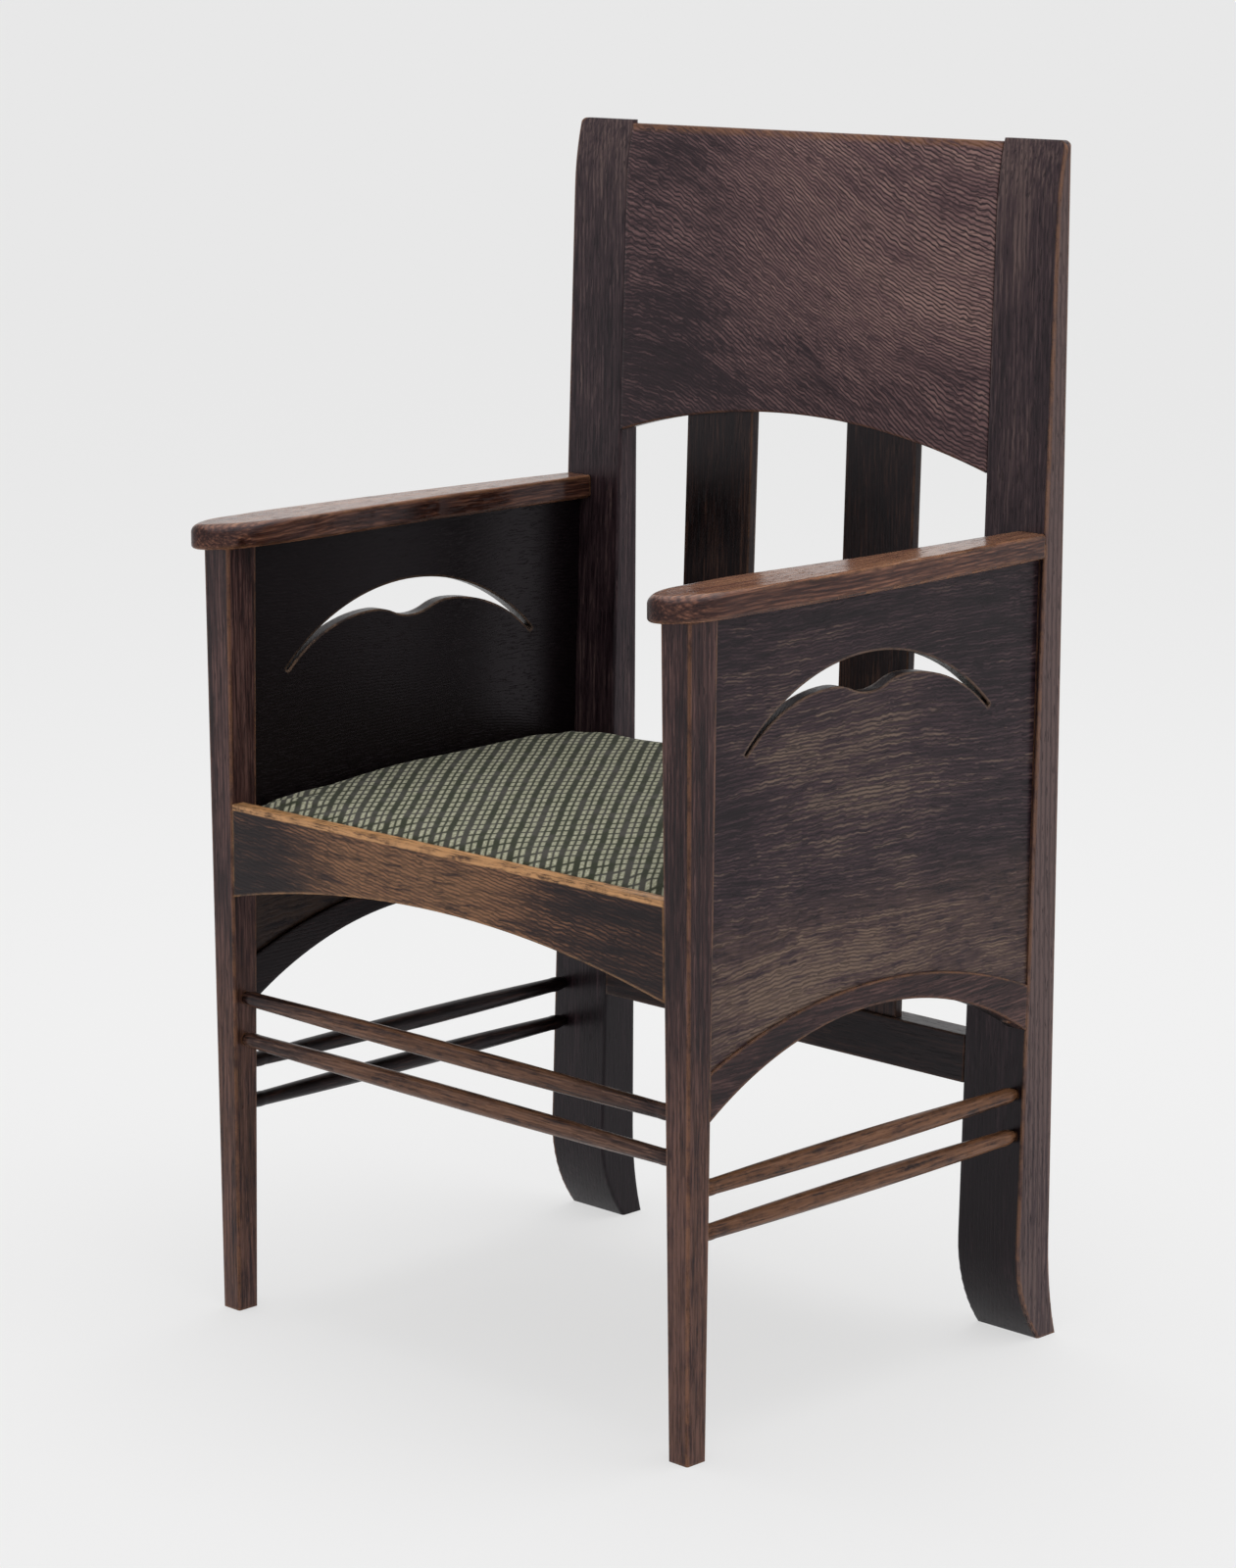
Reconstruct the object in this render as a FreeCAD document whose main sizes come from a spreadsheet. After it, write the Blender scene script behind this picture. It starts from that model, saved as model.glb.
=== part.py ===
# Oak armchair with a pierced board under each arm and a loose upholstered seat.
# Millimetres, +Z up. X runs across the chair, Y from front to back, and the origin lies on the
# floor at the middle of the chair's width and depth.
import FreeCAD, Part
import os
import math
import Sketcher

os.makedirs("parts", exist_ok=True)
doc = FreeCAD.newDocument("armchair")

# Driving dimensions
SIZES = [
    ("height", 970.0),
    ("depth", 455.0),
    # front legs
    ("leg_height", 642.0),
    ("leg_spread", 520.0),
    ("leg_top", 30.0),
    ("leg_foot", 20.0),
    ("leg_edge_radius", 1.6),
    ("leg_pin_diameter", 14.0),
    ("leg_pin_length", 12.0),
    # back posts
    ("post_spread", 542.0),
    ("post_width", 64.5),
    ("post_rear_lean", 12.0),
    ("post_knee_height", 80.0),
    ("post_knee_thickness", 39.5),
    ("post_crown_drop", 60.0),
    ("post_crown_thickness", 14.2),
    ("post_tip_thickness", 5.5),
    ("post_foot_front_sweep", 26.0),
    ("post_foot_rear_sweep", 9.3),
    ("post_edge_radius", 1.8),
    ("post_corner_radius", 7.0),
    # back panel and slats
    ("back_panel_drop", 3.0),
    ("back_panel_thickness", 12.0),
    ("back_panel_height", 265.5),
    ("back_panel_arch_rise", 30.0),
    ("back_panel_tenon", 12.0),
    ("back_panel_tenon_thickness", 5.0),
    ("back_panel_tenon_margin", 14.0),
    ("slat_width", 75.0),
    ("slat_spacing", 182.0),
    ("slat_thickness", 8.0),
    ("slat_set_back", 3.0),
    ("slat_housing", 10.0),
    ("back_rail_low_edge", 207.0),
    ("back_rail_height", 39.5),
    ("back_rail_thickness", 22.0),
    ("back_rail_tenon", 16.0),
    ("back_rail_tenon_thickness", 8.0),
    ("back_rail_tenon_margin", 6.0),
    # front seat rail
    ("rail_top", 431.0),
    ("rail_low_end", 353.5),
    ("rail_arch_rise", 28.5),
    ("rail_thickness", 22.0),
    ("rail_set_back", 0.6),
    ("rail_lip", 12.0),
    ("rail_rebate_depth", 32.0),
    ("rail_tenon", 12.0),
    ("rail_tenon_thickness", 8.0),
    ("rail_tenon_margin", 8.0),
    # side boards and the arched rails below them
    ("board_inner_spread", 508.0),
    ("board_top_thickness", 10.3),
    ("board_low_thickness", 14.5),
    ("board_tongue", 5.0),
    ("arch_rail_thickness", 20.0),
    ("arch_rail_set_back", 0.4),
    ("arch_low_end", 262.0),
    ("arch_low_middle", 317.5),
    ("arch_top_end", 299.0),
    ("arch_top_middle", 336.0),
    ("arch_rail_tenon", 7.4),
    ("arch_rail_tenon_thickness", 8.0),
    ("arch_rail_tenon_margin", 7.5),
    # crescent cut through the side boards
    ("crescent_width", 280.0),
    ("crescent_drop", 49.0),
    ("crescent_rise", 59.5),
    ("crescent_tip_cut", 2.5),
    ("crescent_hump_drop", 21.6),
    ("crescent_hump_spread", 84.0),
    ("crescent_dip", 9.0),
    ("crescent_shift", -8.0),
    # arms
    ("arm_thickness", 20.0),
    ("arm_overhang", 22.0),
    ("arm_outer_spread", 572.0),
    ("arm_front_width", 54.0),
    ("arm_rear_width", 30.0),
    ("arm_nose_length", 50.0),
    ("arm_nose_radius", 14.0),
    ("arm_taper_start", 105.0),
    ("arm_taper_end", 250.0),
    ("arm_edge_radius", 3.0),
    ("arm_nose_edge_radius", 10.5),
    ("arm_dowel_diameter", 8.0),
    ("arm_dowel_length", 32.0),
    ("arm_dowel_in_post", 14.0),
    # stretchers
    ("stretcher_middle_diameter", 15.8),
    ("stretcher_end_diameter", 12.4),
    ("stretcher_tenon_diameter", 8.6),
    ("stretcher_tenon", 12.0),
    ("stretcher_nose", 16.0),
    ("front_stretcher_upper_height", 266.5),
    ("front_stretcher_lower_height", 231.5),
    ("side_stretcher_upper_height", 208.0),
    ("side_stretcher_lower_height", 173.5),
    # seat supports
    ("bearer_width", 20.0),
    ("bearer_height", 18.0),
    ("bearer_end_gap", 3.0),
    ("rear_bearer_width", 20.0),
    ("rear_bearer_height", 24.0),
    ("seat_rail_top", 430.0),
    ("seat_rail_height", 58.0),
    ("seat_rail_thickness", 16.0),
    ("seat_rail_tenon_thickness", 7.0),
    ("screw_diameter", 3.5),
    ("screw_head_diameter", 7.0),
    ("screw_length", 28.0),
    ("screw_end_margin", 40.0),
    ("rear_screw_spacing", 20.0),
    # loose seat
    ("seat_gap", 1.2),
    ("seat_notch_gap", 1.2),
    ("seat_rest_gap", 0.3),
    ("seat_frame_height", 18.0),
    ("seat_frame_width", 46.0),
    ("seat_frame_tenon", 22.0),
    ("seat_frame_tenon_thickness", 8.0),
    ("cover_thickness", 1.2),
    ("cover_turn_under", 32.0),
    ("webbing_width", 50.0),
    ("webbing_thickness", 1.2),
    ("canvas_thickness", 0.8),
    ("seat_side_front_height", 432.0),
    ("seat_side_middle_height", 441.5),
    ("seat_side_back_height", 441.0),
    ("seat_crown_front_rise", 3.0),
    ("seat_crown_middle_rise", 6.0),
    ("seat_crown_back_rise", 5.0),
    ("seat_front_roll", 34.0),
    ("tack_head_diameter", 6.5),
    ("tack_head_thickness", 0.9),
    ("tack_shank_diameter", 1.6),
    ("tack_shank_length", 9.0),
    ("tack_edge_distance", 26.0),
    ("tack_pitch", 48.0),
    ("overrun", 40.0),
]
sheet = doc.addObject("Spreadsheet::Sheet", "Sizes")
for row, (alias, number) in enumerate(SIZES, start=1):
    sheet.set(f"A{row}", alias.replace("_", " "))
    sheet.set(f"B{row}", str(number))
    sheet.setAlias(f"B{row}", alias)
doc.recompute()


class Size:
    """A length that keeps its value together with the expression that gives it."""

    def __init__(self, value, text):
        self.value = value
        self.text = text

    def join(self, other, sign, value):
        return Size(value, f"({self.text} {sign} {text_of(other)})")

    def __add__(self, other):
        return self.join(other, "+", self.value + value_of(other))

    def __sub__(self, other):
        return self.join(other, "-", self.value - value_of(other))

    def __mul__(self, other):
        return self.join(other, "*", self.value * value_of(other))

    def __truediv__(self, other):
        return self.join(other, "/", self.value / value_of(other))

    def __rmul__(self, other):
        return self * other

    def __neg__(self):
        return self * -1


def value_of(size):
    return size.value if isinstance(size, Size) else float(size)


def text_of(size):
    return size.text if isinstance(size, Size) else repr(float(size))


def named(alias):
    return Size(float(sheet.get(alias)), f"Sizes.{alias}")


def bind(piece, field, size):
    piece.setExpression(field, text_of(size))


ZERO = Size(0.0, "0")


# Lines and faces that several pieces share
CROWN = named("height") - named("post_crown_drop")


def leg_depth(level):
    """Thickness of a square front leg at a height."""
    return named("leg_foot") + (named("leg_top") - named("leg_foot")) * level / named("leg_height")


def rear_line(level):
    """Y of the rear face of the back posts at a height above the knee."""
    fall = (named("height") - level) / (named("height") - named("post_knee_height"))
    return named("depth") / 2 - named("post_rear_lean") * fall


def front_line(level):
    """Y of the straight front face of the back posts, which the panel and rails follow."""
    thinning = named("post_knee_thickness") - named("post_crown_thickness")
    share = (level - named("post_knee_height")) / (CROWN - named("post_knee_height"))
    return rear_line(level) - named("post_knee_thickness") + thinning * share


def square_root(size):
    return Size(math.sqrt(size.value), f"sqrt({size.text})")


def tangent_radius(chord_y, chord_z, run_y, run_z):
    """Radius of an arc over a chord that carries on smoothly from a line with the given run."""
    turn = chord_y * run_z - chord_z * run_y
    return (chord_y * chord_y + chord_z * chord_z) * square_root(run_y * run_y + run_z * run_z) / (turn * 2)


def arc_radius(chord, rise):
    """Radius of an arc over a level chord with a given rise."""
    return (chord * chord / 4 + rise * rise) / (rise * 2)


FRONT = named("arm_overhang") - named("depth") / 2
POST_OUTER = named("post_spread") / 2
POST_INNER = POST_OUTER - named("post_width")
LEG_X = named("leg_spread") / 2
BOARD_INNER = named("board_inner_spread") / 2
ARM_BOTTOM = named("leg_height")
SEAT_LEVEL = named("rail_top") - named("rail_rebate_depth")


# Ways of making a piece
PLANES = {"XY": "XY_Plane", "XZ": "XZ_Plane", "YZ": "YZ_Plane"}


def new_body(label):
    body = doc.addObject("PartDesign::Body", label)
    body.Label = label
    return body


def new_sketch(body, name, plane, offset=ZERO, shift_x=ZERO, shift_y=ZERO):
    """A sketch on one of the body's origin planes, moved along its normal and in its plane."""
    sketch = body.newObject("Sketcher::SketchObject", name)
    for feature in body.Origin.OriginFeatures:
        if feature.Role == PLANES[plane]:
            sketch.AttachmentSupport = [(feature, "")]
    sketch.MapMode = "FlatFace"
    moves = {"x": shift_x, "y": shift_y, "z": offset}
    base = [value_of(moves[axis]) for axis in "xyz"]
    sketch.AttachmentOffset = FreeCAD.Placement(FreeCAD.Vector(*base), FreeCAD.Rotation())
    for axis, size in moves.items():
        bind(sketch, f"AttachmentOffset.Base.{axis}", size)
    return sketch


def vector(point):
    return FreeCAD.Vector(value_of(point[0]), value_of(point[1]), 0)


def draw_outline(sketch, points, arcs=None):
    """A closed outline. arcs gives, for the edge that starts at a point, its radius and its side."""
    arcs = arcs or {}
    count = len(points)
    for index, point in enumerate(points):
        start = vector(point)
        end = vector(points[(index + 1) % count])
        if index in arcs:
            radius, side = arcs[index]
            chord = end - start
            middle = (start + end) * 0.5
            rise = value_of(radius) - math.sqrt(value_of(radius) ** 2 - chord.Length ** 2 / 4)
            across = FreeCAD.Vector(-chord.y, chord.x, 0).normalize()
            through = middle + across * (rise * side)
            if side > 0:
                sketch.addGeometry(Part.Arc(end, through, start), False)
            else:
                sketch.addGeometry(Part.Arc(start, through, end), False)
        else:
            sketch.addGeometry(Part.LineSegment(start, end), False)
    # an arc runs counter-clockwise, so one that bulges to the left of the outline is drawn end first
    ends = [(2, 1) if index in arcs and arcs[index][1] > 0 else (1, 2) for index in range(count)]
    for index, point in enumerate(points):
        after = (index + 1) % count
        sketch.addConstraint(
            Sketcher.Constraint("Coincident", index, ends[index][1], after, ends[after][0])
        )
        for kind, size in (("DistanceX", point[0]), ("DistanceY", point[1])):
            number = sketch.addConstraint(
                Sketcher.Constraint(kind, -1, 1, index, ends[index][0], value_of(size))
            )
            bind(sketch, f"Constraints[{number}]", size)
        if index in arcs:
            number = sketch.addConstraint(Sketcher.Constraint("Radius", index, value_of(arcs[index][0])))
            bind(sketch, f"Constraints[{number}]", arcs[index][0])


def pad(body, name, sketch, length):
    feature = body.newObject("PartDesign::Pad", name)
    feature.Profile = sketch
    feature.Length = value_of(length)
    bind(feature, "Length", length)
    sketch.Visibility = False
    return feature


def pocket(body, name, sketch, length, midplane=False, reverse=False):
    before = body.Tip.Shape.Volume
    feature = body.newObject("PartDesign::Pocket", name)
    feature.Profile = sketch
    feature.Length = value_of(length)
    bind(feature, "Length", length)
    feature.Midplane = midplane
    feature.Reversed = reverse
    doc.recompute()
    if feature.Shape.Volume >= before:
        raise ValueError(f"{name} cuts nothing")
    return feature


def round_edges(body, name, radius, chosen):
    """Rounds the edges that chosen(edge) picks on the body's last feature."""
    doc.recompute()
    base = body.Tip
    edges = [f"Edge{n}" for n, edge in enumerate(base.Shape.Edges, start=1) if chosen(edge)]
    feature = body.newObject("PartDesign::Fillet", name)
    feature.Base = (base, edges)
    feature.Radius = value_of(radius)
    bind(feature, "Radius", radius)
    doc.recompute()
    return feature


def rectangle(x0, x1, y0, y1):
    return [(x0, y0), (x1, y0), (x1, y1), (x0, y1)]


def block(label, x, y, z):
    """A plain box between pairs of limits."""
    piece = doc.addObject("Part::Box", label)
    for field, axis, (low, high) in (("Length", "x", x), ("Width", "y", y), ("Height", "z", z)):
        bind(piece, field, high - low)
        bind(piece, f"Placement.Base.{axis}", low)
    return piece


TURNS = {
    "X": (FreeCAD.Vector(0, 1, 0), 90),
    "Y": (FreeCAD.Vector(1, 0, 0), -90),
    "Z": (FreeCAD.Vector(0, 0, 1), 0),
}


def rod(label, centre, direction, diameter, length):
    """A round pin that starts at a point and runs along +X, +Y or +Z."""
    piece = doc.addObject("Part::Cylinder", label)
    piece.Placement = FreeCAD.Placement(FreeCAD.Vector(), FreeCAD.Rotation(*TURNS[direction]))
    bind(piece, "Radius", diameter / 2)
    bind(piece, "Height", length)
    for axis, size in zip("xyz", centre):
        bind(piece, f"Placement.Base.{axis}", size)
    return piece


def joined(label, pieces):
    whole = doc.addObject("Part::MultiFuse", label)
    whole.Shapes = pieces
    return whole


def grouped(label, pieces):
    group = doc.addObject("Part::Compound", label)
    group.Links = pieces
    return group


def cut_by(label, base, tools):
    """The base piece with the joints of its neighbours cut into it, so that they meet face to face."""
    tool = tools[0] if len(tools) == 1 else joined(f"{label}_joints", tools)
    piece = doc.addObject("Part::Cut", label)
    piece.Base = base
    piece.Tool = tool
    piece.Label = label
    return piece


def sloped_band(low, high, near, far):
    """Four points in the YZ plane between two heights, at two distances behind the posts' front line."""
    return [
        (front_line(low) + near, low),
        (front_line(low) + far, low),
        (front_line(high) + far, high),
        (front_line(high) + near, high),
    ]


SIDES = {"left": -1, "right": 1}
nodes = []


def keep(piece):
    nodes.append(piece)
    return piece


# Stretchers: turned rods, a little thicker in the middle, with a round tenon at each end
def stretcher(label, plane, half_length, offset, along, level):
    body = new_body(label)
    middle = named("stretcher_middle_diameter") / 2
    shoulder = named("stretcher_end_diameter") / 2
    tenon = named("stretcher_tenon_diameter") / 2
    reach = half_length + named("stretcher_tenon")
    nose = half_length - named("stretcher_nose")
    sketch = new_sketch(body, f"{label}_outline", plane, offset, along, level)
    swell = arc_radius(nose * 2, middle - shoulder)
    nose_radius = named("stretcher_nose") * 2
    points = [
        (-reach, ZERO), (reach, ZERO), (reach, tenon), (half_length, tenon),
        (nose, shoulder), (-nose, shoulder), (-half_length, tenon), (-reach, tenon),
    ]
    draw_outline(sketch, points, {3: (nose_radius, -1), 4: (swell, -1), 5: (nose_radius, -1)})
    turned = body.newObject("PartDesign::Revolution", f"{label}_turned")
    turned.Profile = sketch
    turned.ReferenceAxis = (sketch, ["H_Axis"])
    turned.Angle = 360
    return keep(body)


def leg_inner(level):
    return LEG_X - leg_depth(level) / 2


front_stretchers = []
for place in ("upper", "lower"):
    level = named(f"front_stretcher_{place}_height")
    centre_y = FRONT + leg_depth(level) / 2
    front_stretchers.append(
        stretcher(f"front_stretcher_{place}", "XZ", leg_inner(level), -centre_y, ZERO, level)
    )

side_stretchers = {"left": [], "right": []}
for side, sign in SIDES.items():
    for place in ("upper", "lower"):
        level = named(f"side_stretcher_{place}_height")
        near = FRONT + leg_depth(level)
        far = front_line(level)
        side_stretchers[side].append(
            stretcher(
                f"side_stretcher_{place}_{side}", "YZ", (far - near) / 2,
                LEG_X * sign, (far + near) / 2, level,
            )
        )


# Front seat rail: arched below, rebated behind its lip for the loose seat, tenoned into the legs
front_rail = new_body("front_seat_rail")
rail_end = leg_inner(named("rail_low_end"))
rail_rear = FRONT + named("rail_set_back") + named("rail_thickness")
sketch = new_sketch(front_rail, "front_rail_outline", "XZ", -rail_rear)
top_end = leg_inner(named("rail_top"))
draw_outline(
    sketch,
    [
        (-rail_end, named("rail_low_end")), (rail_end, named("rail_low_end")),
        (top_end, named("rail_top")), (-top_end, named("rail_top")),
    ],
    {0: (arc_radius(rail_end * 2, named("rail_arch_rise")), 1)},
)
pad(front_rail, "front_rail_board", sketch, named("rail_thickness"))
tenon_low = named("rail_low_end") + named("rail_tenon_margin")
tenon_high = SEAT_LEVEL - named("rail_tenon_margin")
tenon_rear = FRONT + named("rail_set_back") + named("rail_lip")
for side, sign in SIDES.items():
    root = leg_inner(named("rail_top")) - named("rail_thickness")
    tip = leg_inner(named("rail_low_end")) + named("rail_tenon")
    near, far = (root, tip) if sign > 0 else (-tip, -root)
    sketch = new_sketch(front_rail, f"front_rail_tenon_{side}", "XZ", -tenon_rear)
    draw_outline(sketch, rectangle(near, far, tenon_low, tenon_high))
    pad(front_rail, f"front_rail_tongue_{side}", sketch, named("rail_tenon_thickness"))
doc.recompute()
sketch = new_sketch(front_rail, "front_rail_rebate", "YZ")
lip_rear = FRONT + named("rail_set_back") + named("rail_lip")
draw_outline(
    sketch,
    rectangle(lip_rear, rail_rear + named("overrun"), SEAT_LEVEL, named("rail_top") + named("overrun")),
)
pocket(front_rail, "front_rail_rebate_cut", sketch, named("leg_spread") + named("overrun"), midplane=True)
keep(front_rail)


# Arched side rails, tenoned into leg and post
def arched_rail(side, sign):
    label = f"side_arch_rail_{side}"
    body = new_body(f"{label}_blank")
    outer = POST_OUTER - named("arch_rail_set_back")
    inner = outer - named("arch_rail_thickness")
    offset = inner if sign > 0 else -outer
    low, high = named("arch_low_end"), named("arch_top_end")
    near = FRONT + leg_depth(low)
    near_top = FRONT + leg_depth(high)
    sketch = new_sketch(body, f"{label}_outline", "YZ", offset)
    low_radius = arc_radius(front_line(low) - near, named("arch_low_middle") - low)
    top_radius = arc_radius(front_line(high) - near_top, named("arch_top_middle") - high)
    draw_outline(
        sketch,
        [(near, low), (front_line(low), low), (front_line(high), high), (near_top, high)],
        {0: (low_radius, 1), 2: (top_radius, -1)},
    )
    pad(body, f"{label}_board", sketch, named("arch_rail_thickness"))
    margin = named("arch_rail_tenon_margin")
    cheek = (named("arch_rail_thickness") - named("arch_rail_tenon_thickness")) / 2
    reach = named("arch_rail_tenon")
    ends = {
        "front": (near - reach, near + reach * 2),
        "rear": (front_line(low) - reach * 2, front_line(high) + reach),
    }
    for end, (start, stop) in ends.items():
        points = rectangle(start, stop, low + margin, high - margin)
        sketch = new_sketch(body, f"{label}_tenon_{end}", "YZ", offset + cheek)
        draw_outline(sketch, points)
        pad(body, f"{label}_tongue_{end}", sketch, named("arch_rail_tenon_thickness"))
    return body


arch_rail_bodies = {side: arched_rail(side, sign) for side, sign in SIDES.items()}


# Seat bearers: a strip inside each side board, and one across the front of the posts, all screwed on
def screw(label, tip, direction, sign):
    """A countersunk screw whose shank runs from its tip along an axis, with its head at the far end."""
    length, shank, head = named("screw_length"), named("screw_diameter"), named("screw_head_diameter")
    sink = (head - shank) / 2
    axis = "XYZ".index(direction)
    start = list(tip)
    start[axis] = tip[axis] if sign > 0 else tip[axis] - length
    stem = rod(f"{label}_stem", start, direction, shank, length)
    cone = doc.addObject("Part::Cone", f"{label}_head")
    cone.Placement = FreeCAD.Placement(FreeCAD.Vector(), FreeCAD.Rotation(*TURNS[direction]))
    wide, narrow = ("Radius2", "Radius1") if sign > 0 else ("Radius1", "Radius2")
    bind(cone, wide, head / 2)
    bind(cone, narrow, shank / 2)
    bind(cone, "Height", sink)
    base = list(tip)
    base[axis] = tip[axis] + (length - sink) if sign > 0 else tip[axis] - length
    for name, size in zip("xyz", base):
        bind(cone, f"Placement.Base.{name}", size)
    return joined(label, [stem, cone])


bearer_top = SEAT_LEVEL
bearer_screws = {"left": [], "right": [], "rear_left": [], "rear_right": []}
side_bearer_blanks = {}
rear_face = front_line(bearer_top - named("rear_bearer_height"))
bearer_near = FRONT + leg_depth(bearer_top) + named("bearer_end_gap")
bearer_far = rear_face - named("rear_bearer_width") - named("bearer_end_gap")
side_screw_level = bearer_top - named("bearer_height") / 2
for side, sign in SIDES.items():
    inner, outer = BOARD_INNER - named("bearer_width"), BOARD_INNER
    limits = (inner, outer) if sign > 0 else (-outer, -inner)
    side_bearer_blanks[side] = block(
        f"side_seat_bearer_{side}_strip", limits, (bearer_near, bearer_far),
        (bearer_top - named("bearer_height"), bearer_top),
    )
    middle = (bearer_near + bearer_far) / 2
    places = (bearer_near + named("screw_end_margin"), middle, bearer_far - named("screw_end_margin"))
    for number, y in enumerate(places, start=1):
        tip = ((inner + named("screw_length")) * sign, y, side_screw_level)
        bearer_screws[side].append(screw(f"bearer_screw_{side}_{number}", tip, "X", -sign))
rear_bearer_blank = new_body("rear_seat_bearer_strip")
rear_half = BOARD_INNER - named("seat_gap")
sketch = new_sketch(rear_bearer_blank, "rear_bearer_section", "YZ", -rear_half)
low = bearer_top - named("rear_bearer_height")
draw_outline(
    sketch,
    [
        (rear_face - named("rear_bearer_width"), low), (rear_face, low),
        (front_line(bearer_top), bearer_top), (rear_face - named("rear_bearer_width"), bearer_top),
    ],
)
pad(rear_bearer_blank, "rear_bearer_strip", sketch, rear_half * 2)
for side, sign in SIDES.items():
    for number, share in enumerate((-1, 1), start=1):
        x = (POST_OUTER - named("post_width") / 2 + named("rear_screw_spacing") / 2 * share) * sign
        level = bearer_top - named("rear_bearer_height") / 2
        tip = (x, rear_face - named("rear_bearer_width") + named("screw_length"), level)
        bearer_screws[f"rear_{side}"].append(screw(f"bearer_screw_rear_{side}_{number}", tip, "Y", -1))
doc.recompute()
keep(grouped("bearer_screws", [one for places in bearer_screws.values() for one in places]))
for side in SIDES:
    keep(cut_by(f"side_seat_bearer_{side}", side_bearer_blanks[side], bearer_screws[side]))
rear_screws = bearer_screws["rear_left"] + bearer_screws["rear_right"]
keep(cut_by("rear_seat_bearer", rear_bearer_blank, rear_screws))


# Side boards: one pierced board each, thinner towards the arm, tongued into all four neighbours
def side_board(side, sign):
    label = f"side_board_{side}"
    tongue = named("board_tongue")
    low, high = named("arch_top_end"), ARM_BOTTOM
    near_low, near_high = FRONT + leg_depth(low) - tongue, FRONT + leg_depth(high) - tongue
    far_low, far_high = front_line(low) + tongue, front_line(high) + tongue
    body = new_body(f"{label}_blank")
    full = named("board_low_thickness")
    sketch = new_sketch(body, f"{label}_outline", "YZ", BOARD_INNER if sign > 0 else -(BOARD_INNER + full))
    lower_radius = arc_radius(far_low - near_low, named("arch_top_middle") - low)
    draw_outline(
        sketch,
        [
            (near_low, low - tongue), (far_low, low - tongue),
            (far_high, high + tongue), (near_high, high + tongue),
        ],
        {0: (lower_radius, 1)},
    )
    pad(body, f"{label}_board", sketch, full)
    doc.recompute()
    # the piercing: one arch above, and below it two humps with a dip between them
    half = named("crescent_width") / 2
    crest = ARM_BOTTOM - named("crescent_drop")
    tip, peak = crest - named("crescent_rise"), crest - named("crescent_hump_drop")
    centre = (FRONT + leg_depth(tip) + front_line(tip)) / 2 + named("crescent_shift")
    top_radius = arc_radius(half * 2, named("crescent_rise"))
    cut, hump, dip = named("crescent_tip_cut"), named("crescent_hump_spread") / 2, named("crescent_dip")
    flank_run, flank_fall = half - cut - hump, peak - tip + cut
    flank_radius = (flank_run * flank_run + flank_fall * flank_fall) / (flank_fall * 2)
    dip_radius = arc_radius(hump, dip / 2)
    sketch = new_sketch(body, f"{label}_crescent", "YZ")
    draw_outline(
        sketch,
        [
            (centre - half, tip), (centre - half + cut, tip - cut), (centre - hump, peak),
            (centre - hump / 2, peak - dip / 2), (centre + hump / 2, peak - dip / 2),
            (centre + hump, peak), (centre + half - cut, tip - cut), (centre + half, tip),
        ],
        {
            1: (flank_radius, 1), 2: (dip_radius, 1), 3: (dip_radius, -1), 4: (dip_radius, 1),
            5: (flank_radius, 1), 7: (top_radius, -1),
        },
    )
    through = named("board_inner_spread") + named("overrun") * 2
    pocket(body, f"{label}_piercing", sketch, through, midplane=True)
    # the outer face leans in towards the arm
    thinning = full - named("board_top_thickness")
    top, bottom = high + tongue, low - tongue
    wedge_body = new_body(f"{label}_waste")
    sketch = new_sketch(wedge_body, f"{label}_waste_outline", "XZ", -named("depth"))
    outer = BOARD_INNER + full
    draw_outline(
        sketch,
        [(outer * sign, bottom), ((outer + named("overrun")) * sign, bottom),
         ((outer + named("overrun")) * sign, top), ((outer - thinning) * sign, top)],
    )
    pad(wedge_body, f"{label}_waste_block", sketch, named("depth") * 2)
    doc.recompute()
    return keep(cut_by(label, body, [wedge_body, *bearer_screws[side]]))


side_boards = {side: side_board(side, sign) for side, sign in SIDES.items()}
arch_rails = {
    side: keep(cut_by(f"side_arch_rail_{side}", arch_rail_bodies[side], [side_boards[side]]))
    for side in SIDES
}


# Front legs: square, tapering to the foot, upright on their front face
def front_leg(side, sign):
    label = f"front_leg_{side}"
    body = new_body(f"{label}_blank")
    foot, top, tall = named("leg_foot"), named("leg_top"), named("leg_height")
    centre = LEG_X * sign
    sketch = new_sketch(body, f"{label}_outline", "YZ", centre - top / 2)
    draw_outline(sketch, [(FRONT, ZERO), (FRONT + foot, ZERO), (FRONT + top, tall), (FRONT, tall)])
    pad(body, f"{label}_stick", sketch, top)
    doc.recompute()
    for name, turn in (("inner", -1), ("outer", 1)):
        near, far = centre + top / 2 * turn, centre + (top / 2 + named("overrun")) * turn
        sketch = new_sketch(body, f"{label}_{name}_waste", "XZ")
        draw_outline(sketch, [(centre + foot / 2 * turn, ZERO), (far, ZERO), (far, tall), (near, tall)])
        pocket(body, f"{label}_{name}_taper", sketch, named("depth") * 2, midplane=True)
    height = named("leg_height").value
    round_edges(
        body, f"{label}_soft_edges", named("leg_edge_radius"),
        lambda edge: edge.BoundBox.ZLength > height / 2,
    )
    sketch = new_sketch(body, f"{label}_pin_outline", "XY", named("leg_height"))
    centre_y = FRONT + top / 2
    sketch.addGeometry(
        Part.Circle(
            FreeCAD.Vector(LEG_X.value * sign, centre_y.value, 0), FreeCAD.Vector(0, 0, 1),
            named("leg_pin_diameter").value / 2,
        ), False,
    )
    for kind, size in (("DistanceX", LEG_X * sign), ("DistanceY", centre_y)):
        number = sketch.addConstraint(Sketcher.Constraint(kind, -1, 1, 0, 3, size.value))
        bind(sketch, f"Constraints[{number}]", size)
    radius = named("leg_pin_diameter") / 2
    number = sketch.addConstraint(Sketcher.Constraint("Radius", 0, radius.value))
    bind(sketch, f"Constraints[{number}]", radius)
    pad(body, f"{label}_pin", sketch, named("leg_pin_length"))
    return body


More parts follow.
